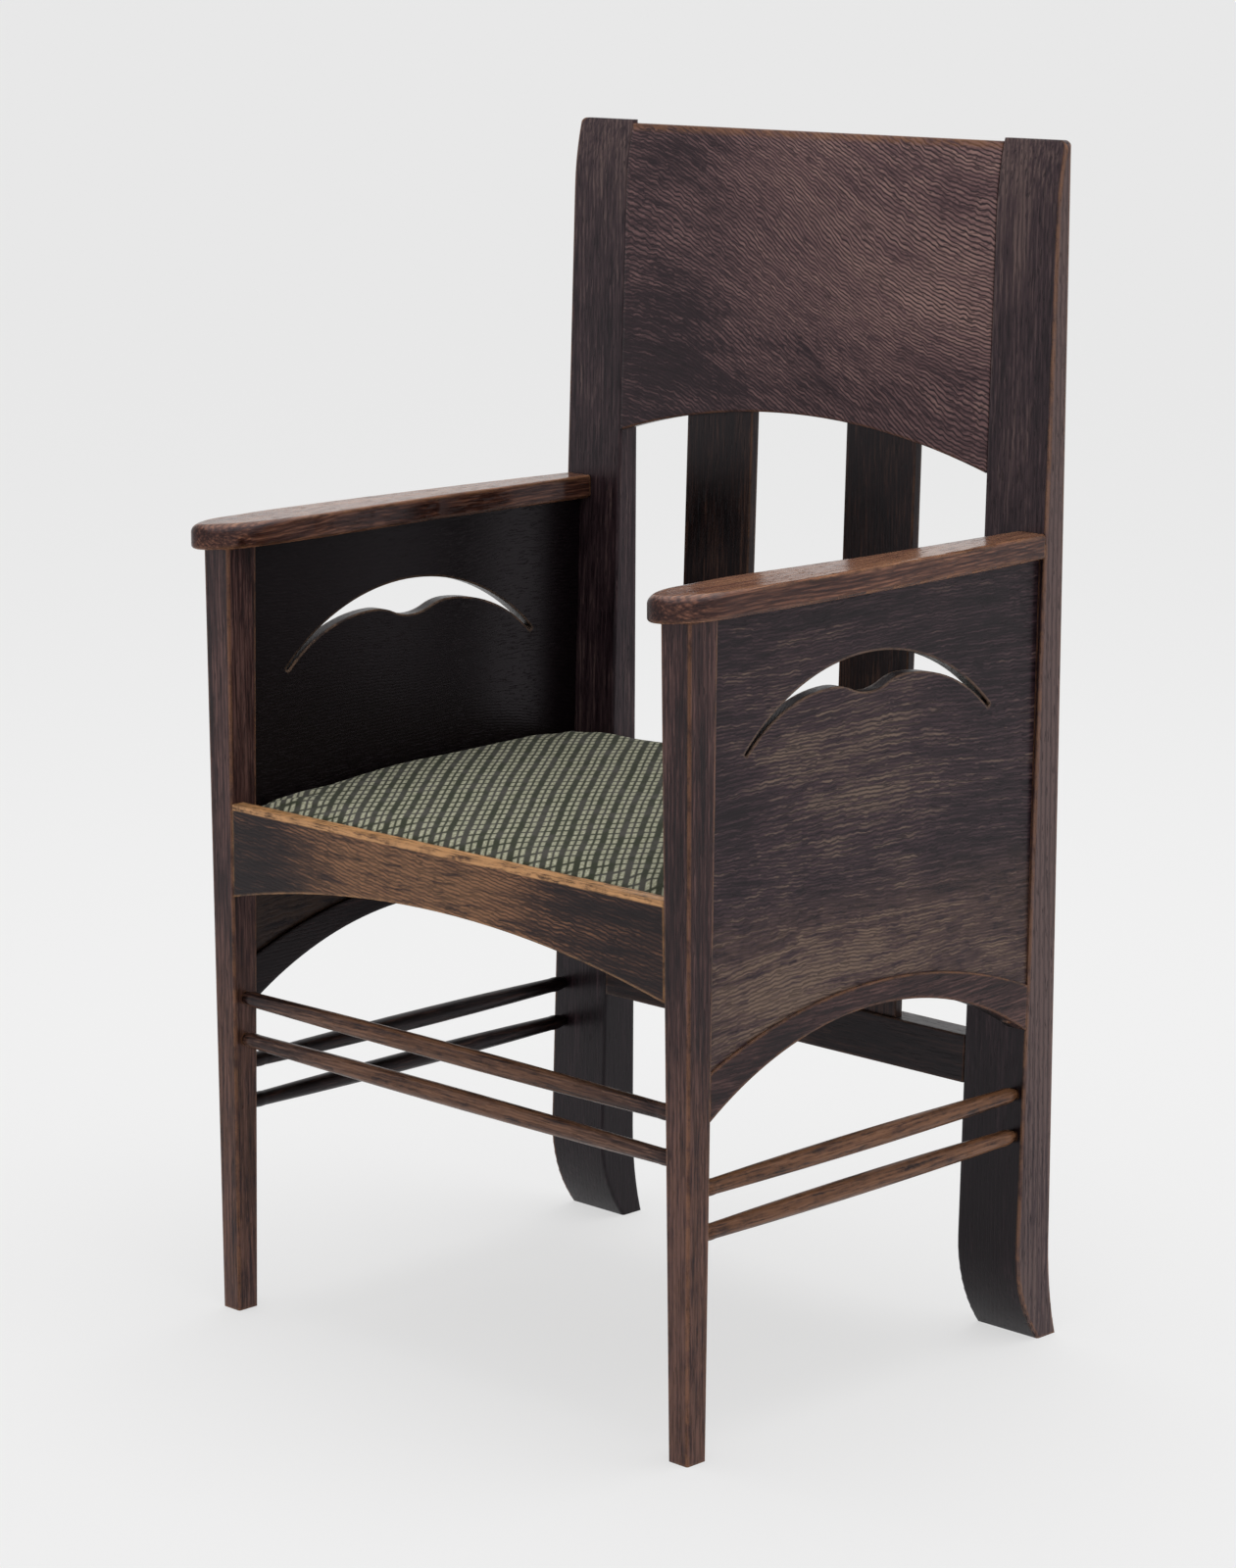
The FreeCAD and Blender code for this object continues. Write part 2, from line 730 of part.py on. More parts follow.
front_legs = {}
for side, sign in SIDES.items():
    tools = [front_rail, side_boards[side], arch_rails[side], *front_stretchers, *side_stretchers[side]]
    front_legs[side] = keep(cut_by(f"front_leg_{side}", front_leg(side, sign), tools))


# Back panel: arched below, its head curved back like the posts, tenoned between them
panel_blank = new_body("back_top_panel_blank")
panel_top = named("height") - named("back_panel_drop")
tip_front = rear_line(named("height")) - named("post_tip_thickness")
crown_front = front_line(CROWN)
knee = named("post_knee_height")
front_run = crown_front - front_line(knee)
head_radius = tangent_radius(tip_front - crown_front, named("post_crown_drop"), front_run, CROWN - knee)
sketch = new_sketch(panel_blank, "back_panel_section", "YZ", -POST_INNER)
low = named("height") - named("back_panel_height")
draw_outline(
    sketch,
    [
        (front_line(low), low), (front_line(low) + named("back_panel_thickness"), low),
        (crown_front + named("back_panel_thickness"), CROWN),
        (rear_line(named("height")), named("height")), (tip_front, named("height")), (crown_front, CROWN),
    ],
    {4: (head_radius, -1)},
)
pad(panel_blank, "back_panel_board", sketch, POST_INNER * 2)
sketch = new_sketch(panel_blank, "back_panel_tenons", "YZ", -(POST_INNER + named("back_panel_tenon")))
slack = (named("post_crown_thickness") - named("back_panel_tenon_thickness")) / 2
draw_outline(
    sketch,
    sloped_band(
        low + named("back_panel_tenon_margin"), CROWN - named("back_panel_tenon_margin"),
        slack, slack + named("back_panel_tenon_thickness"),
    ),
)
pad(panel_blank, "back_panel_tongues", sketch, (POST_INNER + named("back_panel_tenon")) * 2)
doc.recompute()
sketch = new_sketch(panel_blank, "back_panel_arch", "XZ")
arch_radius = arc_radius(POST_INNER * 2, named("back_panel_arch_rise"))
draw_outline(
    sketch,
    [(POST_INNER, low), (-POST_INNER, low), (-POST_INNER, low - named("overrun")),
     (POST_INNER, low - named("overrun"))],
    {0: (arch_radius, -1)},
)
pocket(panel_blank, "back_panel_arch_cut", sketch, named("depth") * 2, midplane=True)
sketch = new_sketch(panel_blank, "back_panel_head", "XZ")
draw_outline(sketch, rectangle(-POST_INNER, POST_INNER, panel_top, named("height") + named("overrun")))
pocket(panel_blank, "back_panel_head_cut", sketch, named("depth") * 2, midplane=True)

# Two slats, set a little behind the face of the panel and housed in it and in the lower rail
slat_low = named("back_rail_low_edge") + named("back_rail_height") - named("slat_housing")
slats = []
for side, sign in SIDES.items():
    body = new_body(f"back_slat_{side}")
    inner_edge = (named("slat_spacing") * sign - named("slat_width")) / 2
    outer_edge = (named("slat_spacing") + named("slat_width")) / 2
    # the arch is lowest over the outer edge of the slat
    fall = outer_edge * outer_edge / (arch_radius * 2)
    slat_high = low + named("back_panel_arch_rise") - fall + named("slat_housing")
    sketch = new_sketch(body, f"back_slat_{side}_section", "YZ", inner_edge)
    slat_near = named("slat_set_back")
    draw_outline(sketch, sloped_band(slat_low, slat_high, slat_near, slat_near + named("slat_thickness")))
    pad(body, f"back_slat_{side}_board", sketch, named("slat_width"))
    slats.append(keep(body))
panel = keep(cut_by("back_top_panel", panel_blank, slats))

# Lower back rail, flush with the front of the posts
lower_rail_blank = new_body("back_lower_rail_blank")
rail_low = named("back_rail_low_edge")
rail_high = rail_low + named("back_rail_height")
sketch = new_sketch(lower_rail_blank, "lower_rail_section", "YZ", -POST_INNER)
draw_outline(sketch, sloped_band(rail_low, rail_high, ZERO, named("back_rail_thickness")))
pad(lower_rail_blank, "lower_rail_board", sketch, POST_INNER * 2)
sketch = new_sketch(lower_rail_blank, "lower_rail_tenons", "YZ", -(POST_INNER + named("back_rail_tenon")))
cheek = (named("back_rail_thickness") - named("back_rail_tenon_thickness")) / 2
margin = named("back_rail_tenon_margin")
draw_outline(
    sketch,
    sloped_band(rail_low + margin, rail_high - margin, cheek, cheek + named("back_rail_tenon_thickness")),
)
pad(lower_rail_blank, "lower_rail_tongues", sketch, (POST_INNER + named("back_rail_tenon")) * 2)
lower_rail = keep(cut_by("back_lower_rail", lower_rail_blank, slats))


# Back seat rail, behind the slats and inside the thickness of the posts
seat_rail = new_body("back_seat_rail")
rail_high = named("seat_rail_top")
rail_low = rail_high - named("seat_rail_height")
rail_near = named("slat_set_back") + named("slat_thickness")
sketch = new_sketch(seat_rail, "seat_rail_section", "YZ", -POST_INNER)
draw_outline(sketch, sloped_band(rail_low, rail_high, rail_near, rail_near + named("seat_rail_thickness")))
pad(seat_rail, "seat_rail_board", sketch, POST_INNER * 2)
sketch = new_sketch(seat_rail, "seat_rail_tenons", "YZ", -(POST_INNER + named("back_rail_tenon")))
cheek = rail_near + (named("seat_rail_thickness") - named("seat_rail_tenon_thickness")) / 2
draw_outline(
    sketch,
    sloped_band(rail_low + margin, rail_high - margin, cheek, cheek + named("seat_rail_tenon_thickness")),
)
pad(seat_rail, "seat_rail_tongues", sketch, (POST_INNER + named("back_rail_tenon")) * 2)
keep(seat_rail)


# Dowels that hold the rear end of each arm to its post
arm_dowels = {}
for side, sign in SIDES.items():
    level = ARM_BOTTOM + named("arm_thickness") / 2
    centre_x = (POST_OUTER - named("arm_rear_width") / 2) * sign
    start = front_line(level) + named("arm_dowel_in_post") - named("arm_dowel_length")
    arm_dowels[side] = rod(
        f"arm_dowel_{side}", (centre_x, start, level), "Y",
        named("arm_dowel_diameter"), named("arm_dowel_length"),
    )
keep(grouped("arm_dowels", list(arm_dowels.values())))


# Back posts: wide in front, thin at the head, swept back at the foot
def back_post(side, sign):
    label = f"back_post_{side}"
    body = new_body(f"{label}_blank")
    sketch = new_sketch(body, f"{label}_outline", "YZ", POST_INNER if sign > 0 else -POST_OUTER)
    front_sweep, rear_sweep = named("post_foot_front_sweep"), named("post_foot_rear_sweep")
    points = [
        (front_line(knee) + front_sweep, ZERO), (rear_line(knee) + rear_sweep, ZERO),
        (rear_line(knee), knee), (rear_line(named("height")), named("height")),
        (tip_front, named("height")), (crown_front, CROWN), (front_line(knee), knee),
    ]
    rear_run = rear_line(named("height")) - rear_line(knee)
    sweep_radius = {
        "front": tangent_radius(front_sweep, -knee, front_run, CROWN - knee),
        "rear": tangent_radius(rear_sweep, -knee, rear_run, named("height") - knee),
    }
    draw_outline(
        sketch, points,
        {1: (sweep_radius["rear"], 1), 4: (head_radius, -1), 6: (sweep_radius["front"], -1)},
    )
    pad(body, f"{label}_plank", sketch, named("post_width"))
    limit = named("post_edge_radius").value
    round_edges(
        body, f"{label}_soft_edges", named("post_edge_radius"),
        lambda edge: edge.BoundBox.XLength < limit and edge.BoundBox.ZLength > limit,
    )
    # the outer corner of the head is rounded off
    sketch = new_sketch(body, f"{label}_corner", "XZ")
    radius, over = named("post_corner_radius"), named("overrun")
    outer, top = POST_OUTER * sign, named("height")
    draw_outline(
        sketch,
        [
            (outer - radius * sign, top), (outer, top - radius), (outer + over * sign, top - radius),
            (outer + over * sign, top + over), (outer - radius * sign, top + over),
        ],
        {0: (radius, sign)},
    )
    pocket(body, f"{label}_corner_cut", sketch, named("depth") * 2, midplane=True)
    return body


back_posts = {}
for side, sign in SIDES.items():
    tools = [
        panel, lower_rail, seat_rail, side_boards[side], arch_rails[side], *side_stretchers[side],
        arm_dowels[side], *bearer_screws[f"rear_{side}"],
    ]
    back_posts[side] = keep(cut_by(f"back_post_{side}", back_post(side, sign), tools))


# Arms: flat boards, round-nosed over the legs and narrowing to the posts
def arm(side, sign):
    label = f"arm_{side}"
    body = new_body(f"{label}_blank")
    outer = named("arm_outer_spread") / 2
    inner = outer - named("arm_front_width")
    rear_outer = POST_OUTER
    rear_inner = POST_OUTER - named("arm_rear_width")
    nose = FRONT - named("arm_overhang")
    # a blunt point: two long side curves run into a small round tip
    half, length, tip = named("arm_front_width") / 2, named("arm_nose_length"), named("arm_nose_radius")
    side_radius = (half * half + length * length - length * tip * 2) / ((half - tip) * 2)
    share = tip / (side_radius - tip)
    shoulder_x = (side_radius - half) * share
    shoulder_y = nose + length - (length - tip) * (share + 1)
    middle = (outer + inner) / 2
    rear = front_line(ARM_BOTTOM)
    taper_start, taper_end = nose + named("arm_taper_start"), nose + named("arm_taper_end")
    sketch = new_sketch(body, f"{label}_outline", "XY", ARM_BOTTOM)
    points = [
        (middle - shoulder_x, shoulder_y), (middle + shoulder_x, shoulder_y), (outer, nose + length),
        (outer, taper_start), (rear_outer, rear), (rear_inner, rear), (rear_inner, taper_end),
        (inner, taper_start), (inner, nose + length),
    ]
    turn = 1 if sign > 0 else -1
    if sign < 0:
        points = [(-x, y) for x, y in points]
    # the outer edge bends in one long arc that starts square to the front part
    bend, run = outer - rear_outer, rear - taper_start
    bend_radius = (bend * bend + run * run) / (bend * 2)
    curves = {0: tip, 1: side_radius, 3: bend_radius, 8: side_radius}
    draw_outline(sketch, points, {edge: (radius, -turn) for edge, radius in curves.items()})
    pad(body, f"{label}_board", sketch, named("arm_thickness"))
    doc.recompute()
    lowest, highest = ARM_BOTTOM.value, (ARM_BOTTOM + named("arm_thickness")).value
    radius_value = named("arm_edge_radius").value
    soft_end = rear.value - radius_value
    round_edges(
        body, f"{label}_soft_edges", named("arm_edge_radius"),
        lambda edge: edge.BoundBox.ZMax < lowest + radius_value and edge.BoundBox.YMin < soft_end,
    )
    # on top the rounding grows along the sides, from the side edges' radius to that of the nose
    blunt_end, fade_end = shoulder_y.value, taper_start.value
    growth = named("arm_nose_edge_radius").value - radius_value

    def radius_at(vertex):
        share = (fade_end - vertex.Point.y) / (fade_end - blunt_end)
        return radius_value + growth * min(max(share, 0), 1)

    rounded = doc.addObject("Part::Fillet", f"{label}_rounded")
    rounded.Base = body
    rounded.Edges = [
        (number, radius_at(edge.firstVertex(True)), radius_at(edge.lastVertex(True)))
        for number, edge in enumerate(body.Shape.Edges, start=1)
        if edge.BoundBox.ZMin > highest - radius_value and edge.BoundBox.YMin < soft_end
    ]
    doc.recompute()
    return rounded


arms = {}
for side, sign in SIDES.items():
    tools = [front_legs[side], side_boards[side], arm_dowels[side], back_posts[side]]
    arms[side] = keep(cut_by(f"arm_{side}", arm(side, sign), tools))


# Loose seat: a jointed frame that rests on the bearers and in the rebate
skin = named("cover_thickness")
frame_low = SEAT_LEVEL + named("seat_rest_gap") + skin
frame_high = frame_low + named("seat_frame_height")
seat_front = lip_rear + named("seat_gap")
seat_rear = front_line(SEAT_LEVEL) - named("seat_gap")
seat_half = BOARD_INNER - named("seat_gap")
frame_front, frame_rear, frame_half = seat_front + skin, seat_rear - skin, seat_half - skin
frame_width = named("seat_frame_width")
notch_x = leg_inner(named("leg_height")) - named("seat_notch_gap")
notch_y = FRONT + leg_depth(named("leg_height")) + named("seat_notch_gap")


def tack(label, x, y):
    """A tack driven up through the turned-under edge of the cover into the frame."""
    under = frame_low - skin
    thickness = named("tack_head_thickness")
    head = rod(f"{label}_head", (x, y, under - thickness), "Z", named("tack_head_diameter"), thickness)
    shank = rod(
        f"{label}_shank", (x, y, under), "Z",
        named("tack_shank_diameter"), named("tack_shank_length"),
    )
    return joined(label, [head, shank])


def evenly_spaced(start, end):
    """Positions from start to end at about the pitch of the tacks."""
    steps = round((end - start).value / named("tack_pitch").value)
    return [start + (end - start) * index / steps for index in range(steps + 1)]


tack_x = seat_half - named("tack_edge_distance")
tack_rows = {"front": [], "rear": [], "left": [], "right": []}
for number, x in enumerate(evenly_spaced(-(tack_x - frame_width), tack_x - frame_width), start=1):
    tack_rows["front"].append(tack(f"tack_front_{number}", x, seat_front + named("tack_edge_distance")))
    tack_rows["rear"].append(tack(f"tack_rear_{number}", x, seat_rear - named("tack_edge_distance")))
first_y, last_y = frame_front + frame_width * 1.5, frame_rear - frame_width * 1.5
for number, y in enumerate(evenly_spaced(first_y, last_y), start=1):
    for side, sign in SIDES.items():
        tack_rows[side].append(tack(f"tack_{side}_{number}", tack_x * sign, y))
all_tacks = [one for row in tack_rows.values() for one in row]
doc.recompute()
keep(grouped("cover_tacks", all_tacks))
tenon_half = named("seat_frame_tenon_thickness") / 2
frame_middle = (frame_low + frame_high) / 2
seat_sides = []
for side, sign in SIDES.items():
    limits = (frame_half - frame_width, frame_half) if sign > 0 else (-frame_half, frame_width - frame_half)
    stile = block(
        f"seat_frame_{side}_stile", limits,
        (frame_front + frame_width, frame_rear - frame_width), (frame_low, frame_high),
    )
    cheek = frame_width / 4
    inner_limits = (limits[0] + cheek, limits[1] - cheek)
    reach = named("seat_frame_tenon")
    tongue = block(
        f"seat_frame_{side}_tongue", inner_limits,
        (frame_front + frame_width - reach, frame_rear - frame_width + reach),
        (frame_middle - tenon_half, frame_middle + tenon_half),
    )
    whole = joined(f"seat_frame_{side}_whole", [stile, tongue])
    seat_sides.append(keep(cut_by(f"seat_frame_{side}", whole, tack_rows[side])))
front_board = block(
    "seat_frame_front_board", (-frame_half, frame_half),
    (frame_front, frame_front + frame_width), (frame_low, frame_high),
)
rear_board = block(
    "seat_frame_rear_board", (-frame_half, frame_half),
    (frame_rear - frame_width, frame_rear), (frame_low, frame_high),
)


def corner_notches(label, margin):
    """Blocks that clear the front legs at the seat's two front corners."""
    pieces = []
    for side, sign in SIDES.items():
        start, end = notch_x - margin, frame_half + named("overrun")
        limits = (start, end) if sign > 0 else (-end, -start)
        pieces.append(
            block(
                f"{label}_{side}", limits, (seat_front - named("overrun"), notch_y + margin),
                (frame_low - named("overrun"), frame_high + named("overrun") * 2),
            )
        )
    return pieces


front_cuts = [*seat_sides, *corner_notches("frame_notch", skin), *tack_rows["front"]]
keep(cut_by("seat_frame_front", front_board, front_cuts))
keep(cut_by("seat_frame_rear", rear_board, [*seat_sides, *tack_rows["rear"]]))

# Webbing: five straps from front to back lie on the frame, and five across lie on those
webbing = named("webbing_thickness")
strap = named("webbing_width")
strap_shares = (-0.38, -0.19, 0.0, 0.19, 0.38)
frame_mid_y = (frame_front + frame_rear) / 2
lengthwise, crosswise = [], []
for number, share in enumerate(strap_shares, start=1):
    centre = frame_half * 2 * share
    lengthwise.append(
        block(
            f"strap_lengthwise_{number}", (centre - strap / 2, centre + strap / 2),
            (frame_front + strap / 4, frame_rear - strap / 4), (frame_high, frame_high + webbing),
        )
    )
    centre = frame_mid_y + (frame_rear - frame_front - frame_width) * share
    crosswise.append(
        block(
            f"strap_crosswise_{number}", (strap / 4 - frame_half, frame_half - strap / 4),
            (centre - strap / 2, centre + strap / 2), (frame_high + webbing, frame_high + webbing * 2),
        )
    )
keep(grouped("seat_webbing_lengthwise", lengthwise))
keep(grouped("seat_webbing_crosswise", crosswise))
canvas_low = frame_high + webbing * 2
canvas_high = canvas_low + named("canvas_thickness")
canvas_sheet = block(
    "seat_canvas_sheet", (strap / 8 - frame_half, frame_half - strap / 8),
    (frame_front + strap / 8, frame_rear - strap / 8), (canvas_low, canvas_high),
)
keep(cut_by("seat_canvas", canvas_sheet, corner_notches("canvas_notch", skin * 2)))


# Stuffing and cover: a low crowned pad, highest in the middle, rolled down at the front
def pad_form(label, inset, bottom):
    """A closed crowned form through five sections from front to back."""
    half = seat_half.value - inset
    start, end = seat_front.value + inset, seat_rear.value - inset
    roll = named("seat_front_roll").value
    middle = (start + end) / 2
    side_front, side_middle, side_back = (
        named(f"seat_side_{place}_height").value - inset for place in ("front", "middle", "back")
    )
    rise_front, rise_middle, rise_back = (
        named(f"seat_crown_{place}_rise").value for place in ("front", "middle", "back")
    )
    near_share, far_share = 0.62, 0.55
    stations = [
        (start, side_front, rise_front),
        (start + roll, side_front + (side_middle - side_front) * near_share,
         rise_front + (rise_middle - rise_front) * near_share),
        (middle, side_middle, rise_middle),
        (end - roll * 2, side_back + (side_middle - side_back) * far_share,
         rise_back + (rise_middle - rise_back) * far_share),
        (end, side_back, rise_back),
    ]
    wires = []
    for y, side_level, rise in stations:
        corners = [
            FreeCAD.Vector(-half, y, bottom), FreeCAD.Vector(half, y, bottom),
            FreeCAD.Vector(half, y, side_level), FreeCAD.Vector(-half, y, side_level),
        ]
        crest = FreeCAD.Vector(0, y, side_level + rise)
        wires.append(
            Part.Wire([
                Part.LineSegment(corners[0], corners[1]).toShape(),
                Part.LineSegment(corners[1], corners[2]).toShape(),
                Part.Arc(corners[2], crest, corners[3]).toShape(),
                Part.LineSegment(corners[3], corners[0]).toShape(),
            ])
        )
    piece = doc.addObject("Part::Feature", label)
    piece.Shape = Part.makeLoft(wires, True, False)
    return piece


stuffing_form = pad_form("seat_stuffing_form", skin.value, canvas_high.value)
keep(cut_by("seat_stuffing", stuffing_form, corner_notches("stuffing_notch", skin)))
cover_form = pad_form("seat_cover_form", 0.0, (frame_low - skin).value)
hollow_top = pad_form("seat_cover_hollow_top", skin.value, frame_high.value)
hollow_low = block(
    "seat_cover_hollow_low", (-frame_half, frame_half),
    (frame_front, frame_rear), (frame_low, frame_high + webbing),
)
turn = named("cover_turn_under")
window = block(
    "seat_cover_window", (turn - frame_half, frame_half - turn), (frame_front + turn, frame_rear - turn),
    (frame_low - skin * 2, frame_low + skin),
)
hollow = joined("seat_cover_hollow", [hollow_top, hollow_low])
hollow_notched = cut_by("seat_cover_hollow_notched", hollow, corner_notches("hollow_notch", skin))
cover_notched = cut_by("seat_cover_notched", cover_form, corner_notches("cover_notch", 0.0))
keep(cut_by("seat_cover", cover_notched, [hollow_notched, window, *all_tacks]))

# Check every object, then write one file for each piece
doc.recompute()
for piece in doc.Objects:
    if "Invalid" in piece.State or "Error" in piece.State:
        raise ValueError(f"{piece.Label} does not build: {piece.State}")
for piece in nodes:
    shape = piece.Shape
    if shape.isNull() or not shape.isValid() or not shape.Solids:
        raise ValueError(f"{piece.Label} has no valid solid")
    shape.exportStep(f"parts/{piece.Label}.step")
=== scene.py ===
import math

import bmesh
import bpy
from mathutils import Matrix, Vector


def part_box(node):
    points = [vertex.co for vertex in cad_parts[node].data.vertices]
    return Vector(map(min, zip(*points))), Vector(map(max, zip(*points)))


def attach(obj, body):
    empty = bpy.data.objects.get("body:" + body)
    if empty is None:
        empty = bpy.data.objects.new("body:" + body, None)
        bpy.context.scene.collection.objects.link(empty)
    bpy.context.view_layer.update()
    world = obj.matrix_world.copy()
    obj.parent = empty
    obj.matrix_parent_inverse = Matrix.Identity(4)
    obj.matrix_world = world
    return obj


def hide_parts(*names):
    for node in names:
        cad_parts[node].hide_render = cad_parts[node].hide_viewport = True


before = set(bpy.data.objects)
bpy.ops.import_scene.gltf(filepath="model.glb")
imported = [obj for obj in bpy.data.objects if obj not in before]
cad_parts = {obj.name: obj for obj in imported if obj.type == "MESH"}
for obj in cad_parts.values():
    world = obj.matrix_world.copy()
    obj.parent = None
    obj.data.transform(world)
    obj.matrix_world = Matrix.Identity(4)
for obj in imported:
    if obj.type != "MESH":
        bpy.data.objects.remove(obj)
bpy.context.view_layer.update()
scene = bpy.context.scene


# Front legs: square oak, tapering to the foot, stained almost black and waxed. Their corners have
# worn back to bare brown oak, and their tops run up into the arms.
class Shade:
    """One socket of a node tree; sums and products on it add the Math nodes they need."""

    def __init__(self, nodes, socket):
        self.nodes = nodes
        self.socket = socket

    def math(self, operation, *others):
        return self.nodes.node("ShaderNodeMath", {"operation": operation}, [self, *others])

    def __add__(self, other):
        return self.math("ADD", other)

    def __sub__(self, other):
        return self.math("SUBTRACT", other)

    def __mul__(self, other):
        return self.math("MULTIPLY", other)

    def __truediv__(self, other):
        return self.math("DIVIDE", other)

    def __rsub__(self, other):
        return self.nodes.node("ShaderNodeMath", {"operation": "SUBTRACT"}, [other, self])

    __radd__ = __add__
    __rmul__ = __mul__

    def step(self, low, high):
        """0 at low, 1 at high, and smooth between them."""
        settings = {"interpolation_type": "SMOOTHSTEP"}
        values = {"Value": self, "From Min": low, "From Max": high}
        return self.nodes.node("ShaderNodeMapRange", settings, values)


class Nodes:
    """A node tree under construction."""

    def __init__(self, tree):
        self.tree = tree

    def node(self, kind, settings, values, output=0):
        """Adds a node: its settings first, then the numbers or links of its sockets.

        A list links several to one socket. What comes back is the socket named or numbered by output."""
        node = self.tree.nodes.new(kind)
        for key, value in settings.items():
            if key == "stops":
                ramp = node.color_ramp
                for index, (place, colour) in enumerate(value):
                    stop = ramp.elements[index] if index < 2 else ramp.elements.new(place)
                    stop.position = place
                    stop.color = (*colour, 1.0)
            else:
                setattr(node, key, value)
        for key, value in values.items() if isinstance(values, dict) else enumerate(values):
            for source in value if isinstance(value, list) else [value]:
                if isinstance(source, Shade):
                    self.tree.links.new(source.socket, node.inputs[key])
                else:
                    node.inputs[key].default_value = source
        return Shade(self, node.outputs[output]) if len(node.outputs) else None


class Finish(Nodes):
    """A material, or the world, under construction."""

    def __init__(self, owner):
        owner.use_nodes = True
        super().__init__(owner.node_tree)
        self.owner = owner
        self.tree.nodes.clear()

    def place(self):
        return self.node("ShaderNodeTexCoord", {}, {}, "Object")

    def part(self, vector, axis):
        return self.node("ShaderNodeSeparateXYZ", {}, [vector], axis)

    def moved(self, vector, shift):
        return self.node("ShaderNodeVectorMath", {"operation": "ADD"}, [vector, shift])

    def scaled(self, vector, factors, shift=(0.0, 0.0, 0.0)):
        return self.node("ShaderNodeVectorMath", {"operation": "MULTIPLY_ADD"}, [vector, factors, shift])

    def dot(self, first, second):
        return self.node("ShaderNodeVectorMath", {"operation": "DOT_PRODUCT"}, [first, second], "Value")

    def noise(self, vector, scale, detail, roughness):
        values = {"Vector": vector, "Scale": scale, "Detail": detail, "Roughness": roughness}
        return self.node("ShaderNodeTexNoise", {}, values)

    def drift(self, vector, scale, detail):
        """A noise with three parts, for moving a pattern about."""
        values = {"Vector": vector, "Scale": scale, "Detail": detail}
        return self.node("ShaderNodeTexNoise", {}, values, "Color")

    def mix(self, factor, first, second):
        return self.node("ShaderNodeMix", {"data_type": "RGBA"}, {0: factor, 6: first, 7: second}, 2)

    def facing(self):
        return self.node("ShaderNodeNewGeometry", {}, {}, "Normal")

    def principled(self, **sockets):
        """A Principled BSDF; base_color is its Base Color, and so on."""
        values = {}
        for name, value in sockets.items():
            values[name.replace("_", " ").title().replace("Ior", "IOR")] = value
        return self.node("ShaderNodeBsdfPrincipled", {}, values)

    def closed(self, shader, output="ShaderNodeOutputMaterial"):
        """Ends the tree in this shader."""
        self.node(output, {}, {"Surface": shader})
        return self.owner

    def surface(self, **sockets):
        return self.closed(self.principled(**sockets))


def rgb(red, green, blue):
    return (red, green, blue, 1.0)


